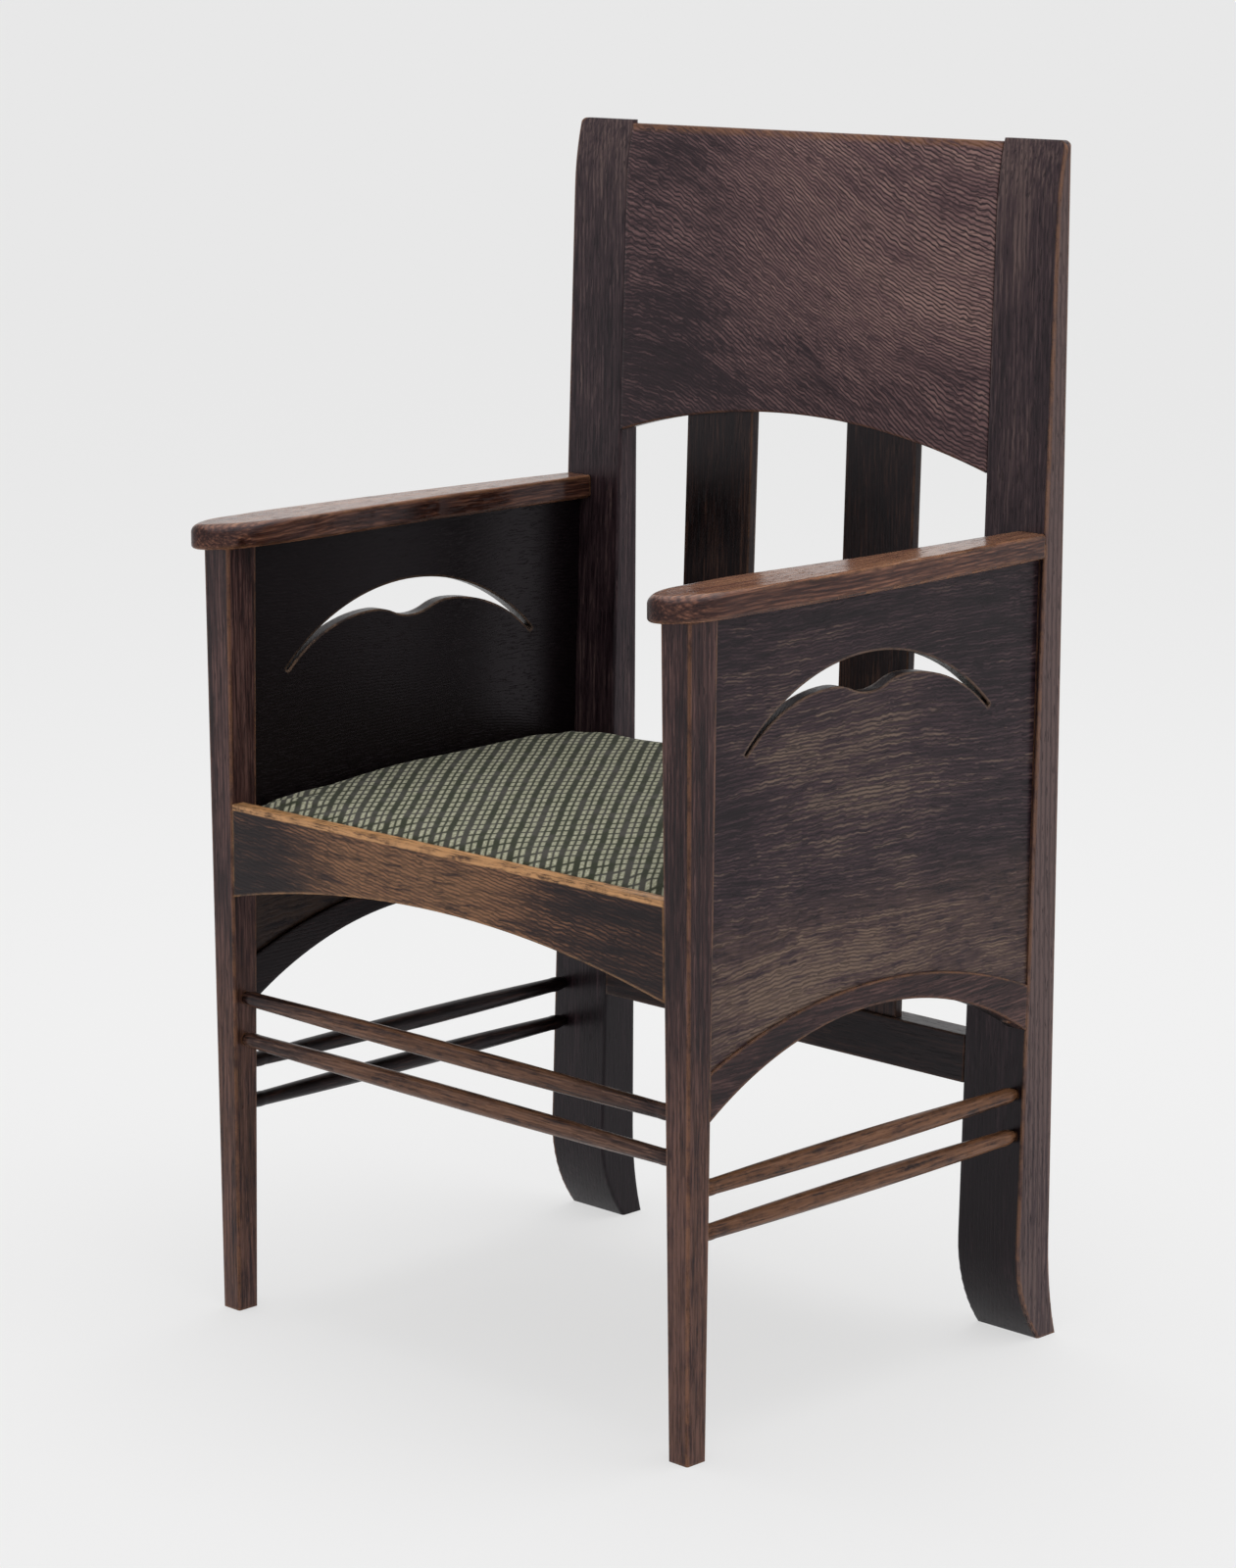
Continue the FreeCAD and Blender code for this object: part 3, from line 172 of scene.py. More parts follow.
def oak(
    name, grain, seed, tones, figure=1.0, ripple=1.0, slant=0.0, rings=0.6, pitch=0.003, wear=1.0, gloss=0.30,
    bare=(0.26, 0.115, 0.050), mottle=1.0, sweep=None, edges=None, painted_facing_shade=None, fade_and_painted_light=(), rubbed=(),
):
    """Stained oak, with its grain along an axis and the dark, middle and light of its stain.

    figure and ripple bend the growth rings and slant tilts them; rings is their strength and pitch
    their spacing. sweep is half the length over which the grain falls, and how far. mottle is how
    uneven the stain is, and dim darkens the faces that don't look along an axis, as painted shade.
    Corners wear bare, and only between two distances where edges gives them. A place in faded is
    lighter where the stain has paled, and lighter or darker as painted light and shade; a rubbed one
    shows the bare oak: each is an axis, a centre, a half width, an amount and the share of the half
    width that has all of it."""
    finish = Finish(bpy.data.materials.new(name))
    place = finish.place()
    shift = tuple(seed * factor for factor in (0.37, 0.71, 0.53))
    parts = {axis: finish.part(place, axis) for axis in "XYZ"}

    def along(squeeze, other=1.0):
        return tuple(squeeze if axis == grain else other for axis in "XYZ")

    def near(axis, centre, half, amount, full=0.3):
        return (parts[axis] - centre).math("ABSOLUTE").step(half, half * full) * amount

    # broad flames and a short ripple along the grain bend the growth rings
    slow = finish.scaled(place, along(0.4), shift)
    flame = finish.drift(slow, 7.0, 1.0)
    curl = finish.drift(finish.scaled(place, along(1.0, 0.5), shift), 120.0, 1.0)
    bend = finish.scaled(flame, (0.060 * figure,) * 3, (-0.030 * figure,) * 3)
    bend = finish.scaled(curl, (0.0042 * ripple,) * 3, bend)
    bent = finish.moved(place, bend)
    if sweep is not None:
        half, fall = sweep
        drop = finish.node("ShaderNodeCombineXYZ", {}, {"Z": parts[grain].step(-half, half) * fall})
        bent = finish.moved(bent, drop)
    across = tuple(slant if axis == grain else 1.0 if axis != "Y" else 0.8 for axis in "XYZ")
    ring = finish.dot(bent, across) / pitch
    ring = (ring - ring.math("FLOOR") - 0.5).math("ABSOLUTE") * 2.0

    # streaks of three widths and clouds, all drawn out along the grain
    drawn = finish.scaled(bent, along(0.05), shift)
    band = finish.noise(drawn, 75.0, 3.0, 0.6)
    line = finish.noise(drawn, 420.0, 2.0, 0.65)
    pore = finish.noise(finish.scaled(bent, along(0.07), shift), 900.0, 1.0, 0.5).step(0.42, 0.34)
    cloud = finish.noise(slow, 9.0, 3.0, 0.6)

    # the stain: its level runs from the dark tone to the light one
    average, middle_level = 1.725, 0.505
    level = (line * 1.50 + band * 0.85 + cloud * 1.10 - average) * mottle + middle_level
    # painted shade on the faces that don't look along the axis
    if painted_facing_shade is not None:
        axis, amount = painted_facing_shade
        level = level - finish.part(finish.facing(), axis).math("ABSOLUTE").step(0.95, 0.55) * amount
    # paled stain, and painted light and shade, by place
    for spot in fade_and_painted_light:
        level = level + near(*spot)
    dark, middle, light = tones
    black = tuple(part * 0.25 for part in dark)
    stops = [(0.0, black), (0.24, dark), (0.50, middle), (0.78, light)]
    colour = finish.node("ShaderNodeValToRGB", {"stops": stops}, {0: level})
    lined = ring.step(0.30, 0.95) * (line + 0.05 + band * 0.5) * rings
    colour = finish.mix(lined.math("MAXIMUM", pore * 0.7), colour, rgb(*(part * 0.5 for part in dark)))

    # corners worn through the stain, and places rubbed by hands, feet and clothes
    rub = finish.noise(place, 60.0, 4.0, 0.7).step(0.34, 0.62)
    soft = finish.node("ShaderNodeBevel", {"samples": 4}, {"Radius": 0.0034})
    corner = 1.0 - finish.dot(soft, finish.facing())
    worn = corner.step(0.008, 0.075) * (rub * 0.75 + 0.20) * wear
    if edges is not None:
        axis, low, high = edges
        worn = worn * parts[axis].math("ABSOLUTE").step(low, high)
    for spot in rubbed:
        worn = worn.math("MAXIMUM", near(*spot) * (line * 1.9 + rub * 0.3 - 0.55).step(0.0, 0.8))
    colour = finish.mix(worn, colour, rgb(*bare))

    # wax, smeared and sunk in the pores
    smear = finish.noise(place, 14.0, 3.0, 0.6)
    rough = smear * 0.14 + (gloss - 0.07) + pore * 0.2
    height = line * 0.5 - lined * 0.5 - pore * 0.6
    bump = finish.node(
        "ShaderNodeBump", {}, {"Height": height, "Distance": 0.0002, "Strength": 0.6, "Normal": soft}
    )
    return finish.surface(
        base_color=colour, roughness=rough, normal=bump, specular_ior_level=0.25,
        specular_tint=rgb(1.0, 0.90, 0.98),
    )


def dress(material, *names):
    """Gives CAD pieces their finish."""
    for name in names:
        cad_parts[name].material_slots[0].material = material


STAIN = ((0.012, 0.005, 0.005), (0.042, 0.018, 0.017), (0.120, 0.060, 0.052))
dress(
    oak(
        "oak_leg", "Z", 3.1, STAIN, figure=0.12, ripple=0.25, rings=0.55, pitch=0.0042, wear=1.3,
        bare=(0.34, 0.155, 0.070), fade_and_painted_light=[("Z", 0.10, 0.30, 0.10)], rubbed=[("Z", 0.12, 0.26, 0.15)],
    ),
    "front_leg_left", "front_leg_right",
)


# Back posts: two wide oak planks, thin at the head and swept back at the foot. Outside, they are
# painted lighter brown as painted light on their lit faces, and the stain is worn off the outer
# corners. Their feet are painted darker as painted shade, and their heads lighter as a painted sheen.
POST_OUTSIDE = 0.271
CHAIR_TOP = 0.97
dress(
    oak(
        "oak_post", "Z", 7.7, ((0.012, 0.006, 0.008), (0.046, 0.026, 0.030), (0.125, 0.080, 0.074)),
        figure=0.15, ripple=0.25, rings=0.55, pitch=0.0045, mottle=0.75, wear=1.5, bare=(0.36, 0.170, 0.080),
        edges=("X", 0.262, 0.266),
        # painted light on the outer faces, painted shade at the feet and a painted sheen at the heads
        fade_and_painted_light=[
            ("X", POST_OUTSIDE, 0.0015, 0.68, 0.6), ("X", -POST_OUTSIDE, 0.0015, 0.68, 0.6),
            ("Z", 0.0, 0.40, -0.40), ("Z", CHAIR_TOP, 0.20, 0.12), ("Z", 0.50, 2.0, -0.08),
        ],
    ),
    "back_post_left", "back_post_right",
)


# Back panel: one oak board with its grain across the chair, tongued between the posts. It is painted
# lighter to the right as painted light, and darker to the left and low down as painted shade.
dress(
    oak(
        "oak_back_panel", "X", 1.9, ((0.030, 0.014, 0.018), (0.170, 0.092, 0.092), (0.325, 0.195, 0.170)),
        slant=0.15, rings=1.25, pitch=0.0038, mottle=0.6, sweep=(0.20, 0.15), edges=("X", 0.2050, 0.2040),
        # painted light to the right, painted shade to the left and low down
        fade_and_painted_light=[
            ("X", 0.22, 0.36, 0.14), ("X", -0.22, 0.20, -0.10),
            ("Z", 0.72, 0.12, -0.20), ("Z", CHAIR_TOP, 0.10, -0.06),
        ],
        rubbed=[("Z", 0.967, 0.008, 0.6)],
    ),
    "back_top_panel",
)


# Slats and back rails: straight-grained oak, housed in the panel and tenoned into the posts. They
# stand in the shade, and their near-black tones are painted shade.
SHADED = ((0.003, 0.0012, 0.001), (0.012, 0.005, 0.004), (0.050, 0.024, 0.016))
dress(
    oak("oak_slat", "Z", 5.3, SHADED, figure=0.15, ripple=0.25, rings=0.4, wear=0.5),
    "back_slat_left", "back_slat_right",
)
dress(
    oak("oak_back_rail", "X", 8.4, SHADED, figure=0.3, ripple=0.4, rings=0.4, wear=0.4),
    "back_lower_rail", "back_seat_rail",
)


# Front seat rail: oak, arched below. Its face is rubbed brown in the middle and the lip in front of
# the seat is bare and golden.
LIP_TOP = 0.4320
dress(
    oak(
        "oak_front_rail", "X", 2.6, ((0.010, 0.004, 0.003), (0.050, 0.021, 0.013), (0.235, 0.106, 0.053)),
        figure=0.5, ripple=0.6, slant=0.15, rings=1.1, mottle=0.8, wear=0.9, bare=(0.66, 0.345, 0.150),
        fade_and_painted_light=[("X", -0.02, 0.19, 0.47), ("Z", 0.3, 1.0, -0.19)],
        rubbed=[("Z", LIP_TOP, 0.0066, 1.0, 0.75), ("X", -0.03, 0.17, 0.14)],
    ),
    "front_seat_rail",
)


# Side boards and the arched rails below them: broad oak boards with a lively figure, tongued in.
# Their inner faces are painted darker as painted shade. The boards' edges and a band under the arms
# are painted darker as painted shade too, and their lower middle is lighter.
BOARD_OUTSIDE = 0.2610
dress(
    oak(
        "oak_side_board", "Y", 4.2, ((0.014, 0.0075, 0.010), (0.052, 0.028, 0.034), (0.175, 0.118, 0.088)),
        # painted shade on the boards' edges; below, on the inner faces and under the arms
        figure=0.9, ripple=0.6, rings=0.9, mottle=0.85, wear=1.1, bare=(0.26, 0.155, 0.095), painted_facing_shade=("X", 0.9),
        fade_and_painted_light=[
            ("X", 0.0, BOARD_OUTSIDE, -0.80, 0.97), ("Z", 0.40, 0.17, 0.06), ("Z", 0.61, 0.12, -0.10),
            ("Y", -0.02, 0.15, 0.10, 0.4), ("Z", 0.355, 0.05, 0.08), ("Z", 0.40, 1.0, -0.10),
        ],
        rubbed=[("Z", 0.35, 0.08, 0.15)],
    ),
    "side_board_left", "side_board_right",
)
dress(
    oak(
        "oak_arch_rail", "Y", 9.5, STAIN, figure=0.4, ripple=0.4, wear=1.2, edges=("X", 0.256, 0.262),
        # painted shade on the inner faces
        fade_and_painted_light=[("X", 0.0, BOARD_OUTSIDE, -0.50, 0.97)],
    ),
    "side_arch_rail_left", "side_arch_rail_right",
)


# Stretchers: turned oak rods with round tenons, worn brown by feet. Those on the left side are
# painted darker, as painted shade away from the light.
dress(
    oak(
        "oak_front_stretcher", "X", 6.1,
        ((0.010, 0.004, 0.003), (0.050, 0.023, 0.017), (0.170, 0.090, 0.060)),
        figure=0.2, ripple=0.3, wear=0.0, rubbed=[("X", 0.0, 0.24, 0.35)],
    ),
    "front_stretcher_upper", "front_stretcher_lower",
)
dress(
    oak(
        "oak_side_stretcher", "Y", 6.9,
        ((0.010, 0.004, 0.003), (0.050, 0.023, 0.017), (0.180, 0.095, 0.062)),
        # painted shade on the left ones, worn bare on the right
        figure=0.2, ripple=0.3, wear=0.0, fade_and_painted_light=[("X", -0.26, 0.20, -0.40)], rubbed=[("X", 0.26, 0.05, 0.55)],
    ),
    "side_stretcher_upper_left", "side_stretcher_lower_left",
    "side_stretcher_upper_right", "side_stretcher_lower_right",
)


# Arms: flat oak boards with blunt pointed noses, on the legs' pins and dowelled to the posts.
# Hands have polished them to a hard gloss.
dress(
    oak(
        "oak_arm", "Y", 5.8, ((0.055, 0.021, 0.015), (0.205, 0.089, 0.056), (0.39, 0.190, 0.105)),
        figure=0.5, ripple=0.15, rings=0.7, gloss=0.14, bare=(0.46, 0.225, 0.110), mottle=0.8,
        # painted shade on the side faces, darker than the tops
        painted_facing_shade=("Z", 0.34), fade_and_painted_light=[("Z", 0.60, 0.20, 0.14)],
    ),
    "arm_left", "arm_right",
)


# Hidden oak and beech: the screwed seat bearers, the loose seat's tenoned frame and the arms'
# dowels, all left bare.
BARE = ((0.16, 0.095, 0.050), (0.29, 0.19, 0.11), (0.42, 0.30, 0.19))
for name, grain, seed, pieces in (
    ("bare_wood_across", "X", 3.7, ("rear_seat_bearer", "seat_frame_front", "seat_frame_rear")),
    (
        "bare_wood_along", "Y", 2.3,
        (
            "side_seat_bearer_left", "side_seat_bearer_right", "seat_frame_left", "seat_frame_right",
            "arm_dowels",
        ),
    ),
):
    bare_wood = oak(
        name, grain, seed, BARE, figure=0.4, ripple=0.3, wear=0.3, gloss=0.6, bare=(0.45, 0.33, 0.22)
    )
    dress(bare_wood, *pieces)


# Screws and tacks: plain steel, the tacks blued. The screws hold the bearers to the boards and the
# back, and the tacks hold the cover under the seat's frame.
def steel(name, colour, rust):
    """Bare steel of a colour, with rust in spots."""
    finish = Finish(bpy.data.materials.new(name))
    spots = finish.noise(finish.place(), 420.0, 3.0, 0.6).step(0.48, 0.68)
    shade = finish.mix(spots * rust, rgb(*colour), rgb(0.16, 0.07, 0.03))
    return finish.surface(base_color=shade, metallic=1.0 - spots * rust, roughness=spots * 0.35 + 0.34)


dress(steel("dull_steel", (0.46, 0.45, 0.43), 0.5), "bearer_screws")
dress(steel("blued_steel", (0.10, 0.105, 0.12), 0.35), "cover_tacks")


# Seat cover: green-black wool cloth with small pale slubs in paired rows, drawn over a crowned
# pad, turned under the frame and tacked.
low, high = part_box("seat_cover")
half = high.x
front, rear = low.y, high.y
frame_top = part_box("seat_frame_left")[1].z
leg_low, leg_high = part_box("front_leg_right")
LEG_GAP = 0.0012
notch_x = leg_low.x - LEG_GAP
notch_y = leg_high.y + LEG_GAP
PAD_RIM = LIP_TOP
PAD_CORNER = 0.030
CELL = 0.005
MOST_SWELL = 0.0035
TURNED_UNDER = 0.032
UNDERSIDE = 0.004
EDGE_ROUND = 0.004
CLOTH_THICKNESS = 0.0011


def smooth_step(value):
    """0 to 1 with soft ends, and flat beyond them."""
    value = min(max(value, 0.0), 1.0)
    return value * value * (3.0 - 2.0 * value)


def pad_height(x, y):
    """Top of the pad before it is blown up: a low cushion rising to the rear, rolled off at its edges."""
    run = (y - front) / (rear - front)
    front_rise, rear_rise = 0.0085, 0.0020
    rise = front_rise * smooth_step(run / 0.5) + rear_rise * smooth_step((run - 0.5) / 0.3)
    front_crown, more_crown = 0.0015, 0.0030
    crown = front_crown + more_crown * smooth_step(run / 0.4)
    # distance in from the edge, with the rear corners rounded in plan
    gap_x, gap_rear = half - abs(x), rear - y
    if gap_x < PAD_CORNER and gap_rear < PAD_CORNER:
        inset = PAD_CORNER - math.hypot(PAD_CORNER - gap_x, PAD_CORNER - gap_rear)
    else:
        inset = min(gap_x, gap_rear)
    if y < notch_y + PAD_CORNER:
        inset = min(inset, max(notch_x - abs(x), y - notch_y))
    edge_roll, roll_width = 0.0065, 0.016
    roll = edge_roll * max(0.0, 1.0 - inset / roll_width) ** 2
    front_roll, front_width = 0.0022, 0.008
    lip = front_roll * max(0.0, 1.0 - (y - front) / front_width) ** 2
    return PAD_RIM + rise + crown * (1.0 - (x / half) ** 2) - roll - lip


def stations(start, end, marks):
    """Places a cell apart from start to end, with one at each mark."""
    marks = sorted({start, end, *marks})
    places = []
    for first, last in zip(marks, marks[1:]):
        count = max(1, round((last - first) / CELL))
        places += [first + (last - first) * index / count for index in range(count)]
    return places + [end]


def pad_shape(name):
    """A closed block in small cells, with its two front corners cut away round the legs."""
    xs = stations(-half, half, (-notch_x, notch_x))
    ys = stations(front, rear, (notch_y,))
    mesh = bmesh.new()
    corners = {}

    def corner(column, row, top):
        key = (column, row, top)
        if key not in corners:
            x, y = xs[column], ys[row]
            corners[key] = mesh.verts.new((x, y, pad_height(x, y) if top else low.z))
        return corners[key]

    def inside(column, row):
        if not (0 <= column < len(xs) - 1 and 0 <= row < len(ys) - 1):
            return False
        x, y = (xs[column] + xs[column + 1]) / 2, (ys[row] + ys[row + 1]) / 2
        return not (abs(x) > notch_x and y < notch_y)

    for column in range(len(xs) - 1):
        for row in range(len(ys) - 1):
            if not inside(column, row):
                continue
            ring = [(column, row), (column + 1, row), (column + 1, row + 1), (column, row + 1)]
            mesh.faces.new([corner(*spot, True) for spot in ring])
            mesh.faces.new([corner(*spot, False) for spot in reversed(ring)])
            around = [(column, row - 1), (column + 1, row), (column, row + 1), (column - 1, row)]
            for index, neighbour in enumerate(around):
                if not inside(*neighbour):
                    first, second = ring[index], ring[(index + 1) % 4]
                    wall = [(*first, False), (*second, False), (*second, True), (*first, True)]
                    mesh.faces.new([corner(*spot) for spot in wall])
    return new_piece(name, mesh)


def new_piece(name, mesh):
    """Makes a piece of a bmesh, which is used up."""
    data = bpy.data.meshes.new(name)
    mesh.to_mesh(data)
    mesh.free()
    piece = bpy.data.objects.new(name, data)
    scene.collection.objects.link(piece)
    return piece


def apply_modifiers(piece):
    """Makes the evaluated shape the piece's own mesh."""
    graph = bpy.context.evaluated_depsgraph_get()
    data = bpy.data.meshes.new_from_object(piece.evaluated_get(graph))
    piece.modifiers.clear()
    piece.data = data


def blow_up(piece):
    """Inflates the pad as cloth. Nothing below the frame's top moves, and nothing moves far."""
    remesh = piece.modifiers.new("even", "REMESH")
    remesh.mode = "VOXEL"
    remesh.voxel_size = CELL
    apply_modifiers(piece)
    before = [vertex.co.copy() for vertex in piece.data.vertices]
    held = piece.vertex_groups.new(name="held")
    for vertex in piece.data.vertices:
        if vertex.co.z < frame_top + 0.002:
            held.add([vertex.index], 1.0, "REPLACE")
    cloth = piece.modifiers.new("cloth", "CLOTH")
    settings = cloth.settings
    settings.use_pressure = True
    settings.uniform_pressure_force = 4.0
    settings.effector_weights.gravity = 0.0
    settings.vertex_group_mass = "held"
    settings.tension_stiffness = 30.0
    settings.compression_stiffness = 20.0
    settings.bending_stiffness = 2.0
    steps = 20
    cloth.point_cache.frame_start = 1
    cloth.point_cache.frame_end = steps
    for number in range(1, steps + 1):
        scene.frame_set(number)
    graph = bpy.context.evaluated_depsgraph_get()
    blown = [vertex.co.copy() for vertex in piece.evaluated_get(graph).data.vertices]
    piece.modifiers.clear()
    piece.vertex_groups.clear()
    scene.frame_set(1)
    for vertex, start, end in zip(piece.data.vertices, before, blown):
        travel = end - start
        if travel.length > MOST_SWELL:
            travel *= MOST_SWELL / travel.length
        place = start + travel
        place.x = min(max(place.x, -half), half)
        place.y = min(max(place.y, front), rear)
        vertex.co = place


seat = pad_shape("seat_cover_cloth")
blow_up(seat)
subdivide = seat.modifiers.new("finer", "SUBSURF")
subdivide.levels = 1
subdivide.render_levels = 1
apply_modifiers(seat)

# the cloth keeps clear of the legs, which are wider above it, so that the seat lifts out past them
for vertex in seat.data.vertices:
    beside, ahead = abs(vertex.co.x) - notch_x, notch_y - vertex.co.y
    if beside > 0.0 and ahead > 0.0:
        if beside < ahead:
            vertex.co.x = math.copysign(notch_x, vertex.co.x)
        else:
            vertex.co.y = notch_y

# underneath, the cloth ends a short way in from the frame's edge
shell = bmesh.new()
shell.from_mesh(seat.data)
window = []
for face in shell.faces:
    centre = face.calc_center_median()
    if (
        centre.z < low.z + UNDERSIDE and abs(centre.x) < half - TURNED_UNDER
        and front + TURNED_UNDER < centre.y < rear - TURNED_UNDER
    ):
        window.append(face)
bmesh.ops.delete(shell, geom=window, context="FACES")
shell.to_mesh(seat.data)
shell.free()

# the weave follows the cloth over the edge and down the sides
threads = seat.data.attributes.new("threads", "FLOAT_VECTOR", "POINT")
for vertex in seat.data.vertices:
    x, y, z = vertex.co
    edge = pad_height(min(max(x, -half), half), min(max(y, front), rear)) - EDGE_ROUND
    fall = max(0.0, edge - z)
    if half - abs(x) < min(y - front, rear - y):
        x += math.copysign(fall, x)
    else:
        y += math.copysign(fall, y)
    threads.data[vertex.index].vector = (x, y, 0.0)
for polygon in seat.data.polygons:
    polygon.use_smooth = True
skin = seat.modifiers.new("cloth_thickness", "SOLIDIFY")
skin.thickness = CLOTH_THICKNESS
skin.offset = -1.0


def plain_weave(finish, vector, scale):
    """Threads over and under, from 0 between them to 1 on top."""
    warp, weft = (
        finish.node("ShaderNodeTexWave", {"bands_direction": axis}, {"Vector": vector, "Scale": scale})
        for axis in "XY"
    )
    return warp * weft


def slub_cloth(name):
    """Wool cloth: a dark ground in plain weave, with pale slubs in paired rows on a slanting lattice."""
    finish = Finish(bpy.data.materials.new(name))
    place = finish.node("ShaderNodeAttribute", {"attribute_name": "threads"}, {}, "Vector")
    strayed = finish.scaled(finish.drift(place, 26.0, 2.0), (0.0022,) * 3, (-0.0011,) * 3)
    laid = finish.moved(place, strayed)
    x, y = finish.part(laid, "X"), finish.part(laid, "Y")
    # the lattice repeats over one step from pair to pair and another along a row
    across_x, across_y, along_x, along_y = 0.0105, 0.0091, -0.0088, 0.0108
    area = across_x * along_y - across_y * along_x
    across = (x * along_y - y * along_x) / area
    along = (y * across_x - x * across_y) / area
    first_row, second_row = 0.30, 0.68
    left = across - across.math("FLOOR")
    pair = (left - first_row).math("ABSOLUTE").math("MINIMUM", (left - second_row).math("ABSOLUTE"))
    length = (along - along.math("FLOOR") - 0.5).math("ABSOLUTE")
    speck = finish.noise(laid, 480.0, 2.0, 0.6)
    slub = pair.step(0.175, 0.060) * (length + (speck - 0.5) * 0.16).step(0.47, 0.29)
    weave = plain_weave(finish, laid, 300.0)
    patch = finish.noise(place, 38.0, 3.0, 0.6).step(0.40, 0.66)
    wool = finish.mix(patch, rgb(0.022, 0.027, 0.013), rgb(0.065, 0.060, 0.055))
    wool = finish.mix(weave * 0.5, wool, rgb(0.120, 0.125, 0.080))
    pale = finish.mix(speck.step(0.35, 0.65), rgb(0.30, 0.30, 0.20), rgb(0.56, 0.55, 0.41))
    height = weave * 0.4 + slub * 0.8 + speck * 0.25
    bump = finish.node("ShaderNodeBump", {}, {"Height": height, "Distance": 0.0005, "Strength": 0.7})
    return finish.surface(
        base_color=finish.mix(slub * 0.92, wool, pale), roughness=0.92, normal=bump, sheen_weight=0.08,
        sheen_roughness=0.5, specular_ior_level=0.15,
    )


seat.data.materials.clear()
seat.data.materials.append(slub_cloth("slub_wool"))
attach(seat, "seat")
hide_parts("seat_cover", "seat_stuffing")


# Webbing: jute straps stretched over the seat's frame and tacked to it, five each way, woven over
# and under each other.
def strap_tree(name):
    """Straps in a row, rising and falling where they cross the straps of the other set."""
    tree = bpy.data.node_groups.new(name, "GeometryNodeTree")
    tree.interface.new_socket("Geometry", in_out="OUTPUT", socket_type="NodeSocketGeometry")
    sizes = {
        "Count": "Int", "Pitch": "Float", "Width": "Float", "Length": "Float",
        "Cross Pitch": "Float", "Rise": "Float", "Thickness": "Float", "Finish": "Material",
    }
    for title, kind in sizes.items():
        tree.interface.new_socket(title, in_out="INPUT", socket_type=f"NodeSocket{kind}")
    web = Nodes(tree)
    given = {title: web.node("NodeGroupInput", {}, {}, title) for title in sizes}
    strap = web.node(
        "GeometryNodeMeshGrid", {},
        {"Vertices X": 7, "Vertices Y": 90, "Size X": given["Width"], "Size Y": given["Length"]},
    )
    reach = (given["Count"] - 1.0) * given["Pitch"]
    pace = web.node("ShaderNodeCombineXYZ", {}, {"X": given["Pitch"]})
    start = web.node("ShaderNodeCombineXYZ", {}, {"X": reach * -0.5})
    row = web.node(
        "GeometryNodeMeshLine", {"mode": "OFFSET"},
        {"Count": given["Count"], "Offset": pace, "Start Location": start},
    )
    copies = web.node("GeometryNodeInstanceOnPoints", {}, {"Points": row, "Instance": strap})
    flat = web.node("GeometryNodeRealizeInstances", {}, [copies])
    place = web.node("GeometryNodeInputPosition", {}, {})
    lift = given["Rise"]
    for axis, spacing in (("X", "Pitch"), ("Y", "Cross Pitch")):
        turns = web.node("ShaderNodeSeparateXYZ", {}, [place], axis) / given[spacing]
        lift = lift * (turns * math.pi).math("COSINE")
    lift = web.node("ShaderNodeCombineXYZ", {}, {"Z": lift})
    woven = web.node("GeometryNodeSetPosition", {}, {"Geometry": flat, "Offset": lift})
    top = web.node(
        "GeometryNodeExtrudeMesh", {},
        {"Mesh": woven, "Offset Scale": given["Thickness"], "Individual": False},
    )
    underside = web.node("GeometryNodeFlipFaces", {}, [woven])
    both = web.node("GeometryNodeJoinGeometry", {}, {0: [underside, top]})
    closed = web.node("GeometryNodeMergeByDistance", {}, {"Geometry": both, "Distance": 0.00001})
    painted = web.node("GeometryNodeSetMaterial", {}, {"Geometry": closed, "Material": given["Finish"]})
    web.node("NodeGroupOutput", {}, [painted])
    return tree


def jute(name):
    """Coarse brown webbing, dusty in patches."""
    finish = Finish(bpy.data.materials.new(name))
    place = finish.place()
    weave = plain_weave(finish, place, 190.0)
    colour = finish.mix(weave, rgb(0.16, 0.11, 0.06), rgb(0.42, 0.33, 0.20))
    colour = finish.mix(finish.noise(place, 90.0, 4.0, 0.6) * 0.5, colour, rgb(0.22, 0.16, 0.10))
    bump = finish.node("ShaderNodeBump", {}, {"Height": weave, "Distance": 0.0006, "Strength": 0.8})
    return finish.surface(base_color=colour, roughness=0.9, normal=bump)


web_tree = strap_tree("webbing_straps")
web_finish = jute("jute_webbing")
WEB_WIDTH = 0.050
WEB_THICKNESS = 0.0009
WEB_COUNT = 5


def straps(name, stands_for, turn, **sizes):
    """One set of straps as a plain mesh, in place of the CAD ones."""
    piece = bpy.data.objects.new(name, bpy.data.meshes.new(name))
    scene.collection.objects.link(piece)
    modifier = piece.modifiers.new("straps", "NODES")
    modifier.node_group = web_tree
    sizes = {title.replace("_", " ").title(): value for title, value in sizes.items()}
    sizes |= {"Count": WEB_COUNT, "Width": WEB_WIDTH, "Thickness": WEB_THICKNESS, "Finish": web_finish}
    for item in web_tree.interface.items_tree:
        if item.in_out == "INPUT":
            modifier[item.identifier] = sizes[item.name]
    apply_modifiers(piece)
    lowest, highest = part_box(stands_for)
    piece.data.transform(Matrix.Translation((lowest + highest) / 2) @ Matrix.Rotation(turn, 4, "Z"))
    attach(piece, "seat")
    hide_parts(stands_for)
    return piece


long_low, long_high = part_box("seat_webbing_lengthwise")
wide_low, wide_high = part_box("seat_webbing_crosswise")
long_pitch = (long_high.x - long_low.x - WEB_WIDTH) / (WEB_COUNT - 1)
wide_pitch = (wide_high.y - wide_low.y - WEB_WIDTH) / (WEB_COUNT - 1)
long_straps = straps(
    "webbing_lengthwise", "seat_webbing_lengthwise", 0.0,
    pitch=long_pitch, cross_pitch=wide_pitch, length=long_high.y - long_low.y, rise=WEB_THICKNESS,
)
wide_straps = straps(
    "webbing_crosswise", "seat_webbing_crosswise", math.pi / 2,
    pitch=wide_pitch, cross_pitch=long_pitch, length=wide_high.x - wide_low.x, rise=-WEB_THICKNESS,
)


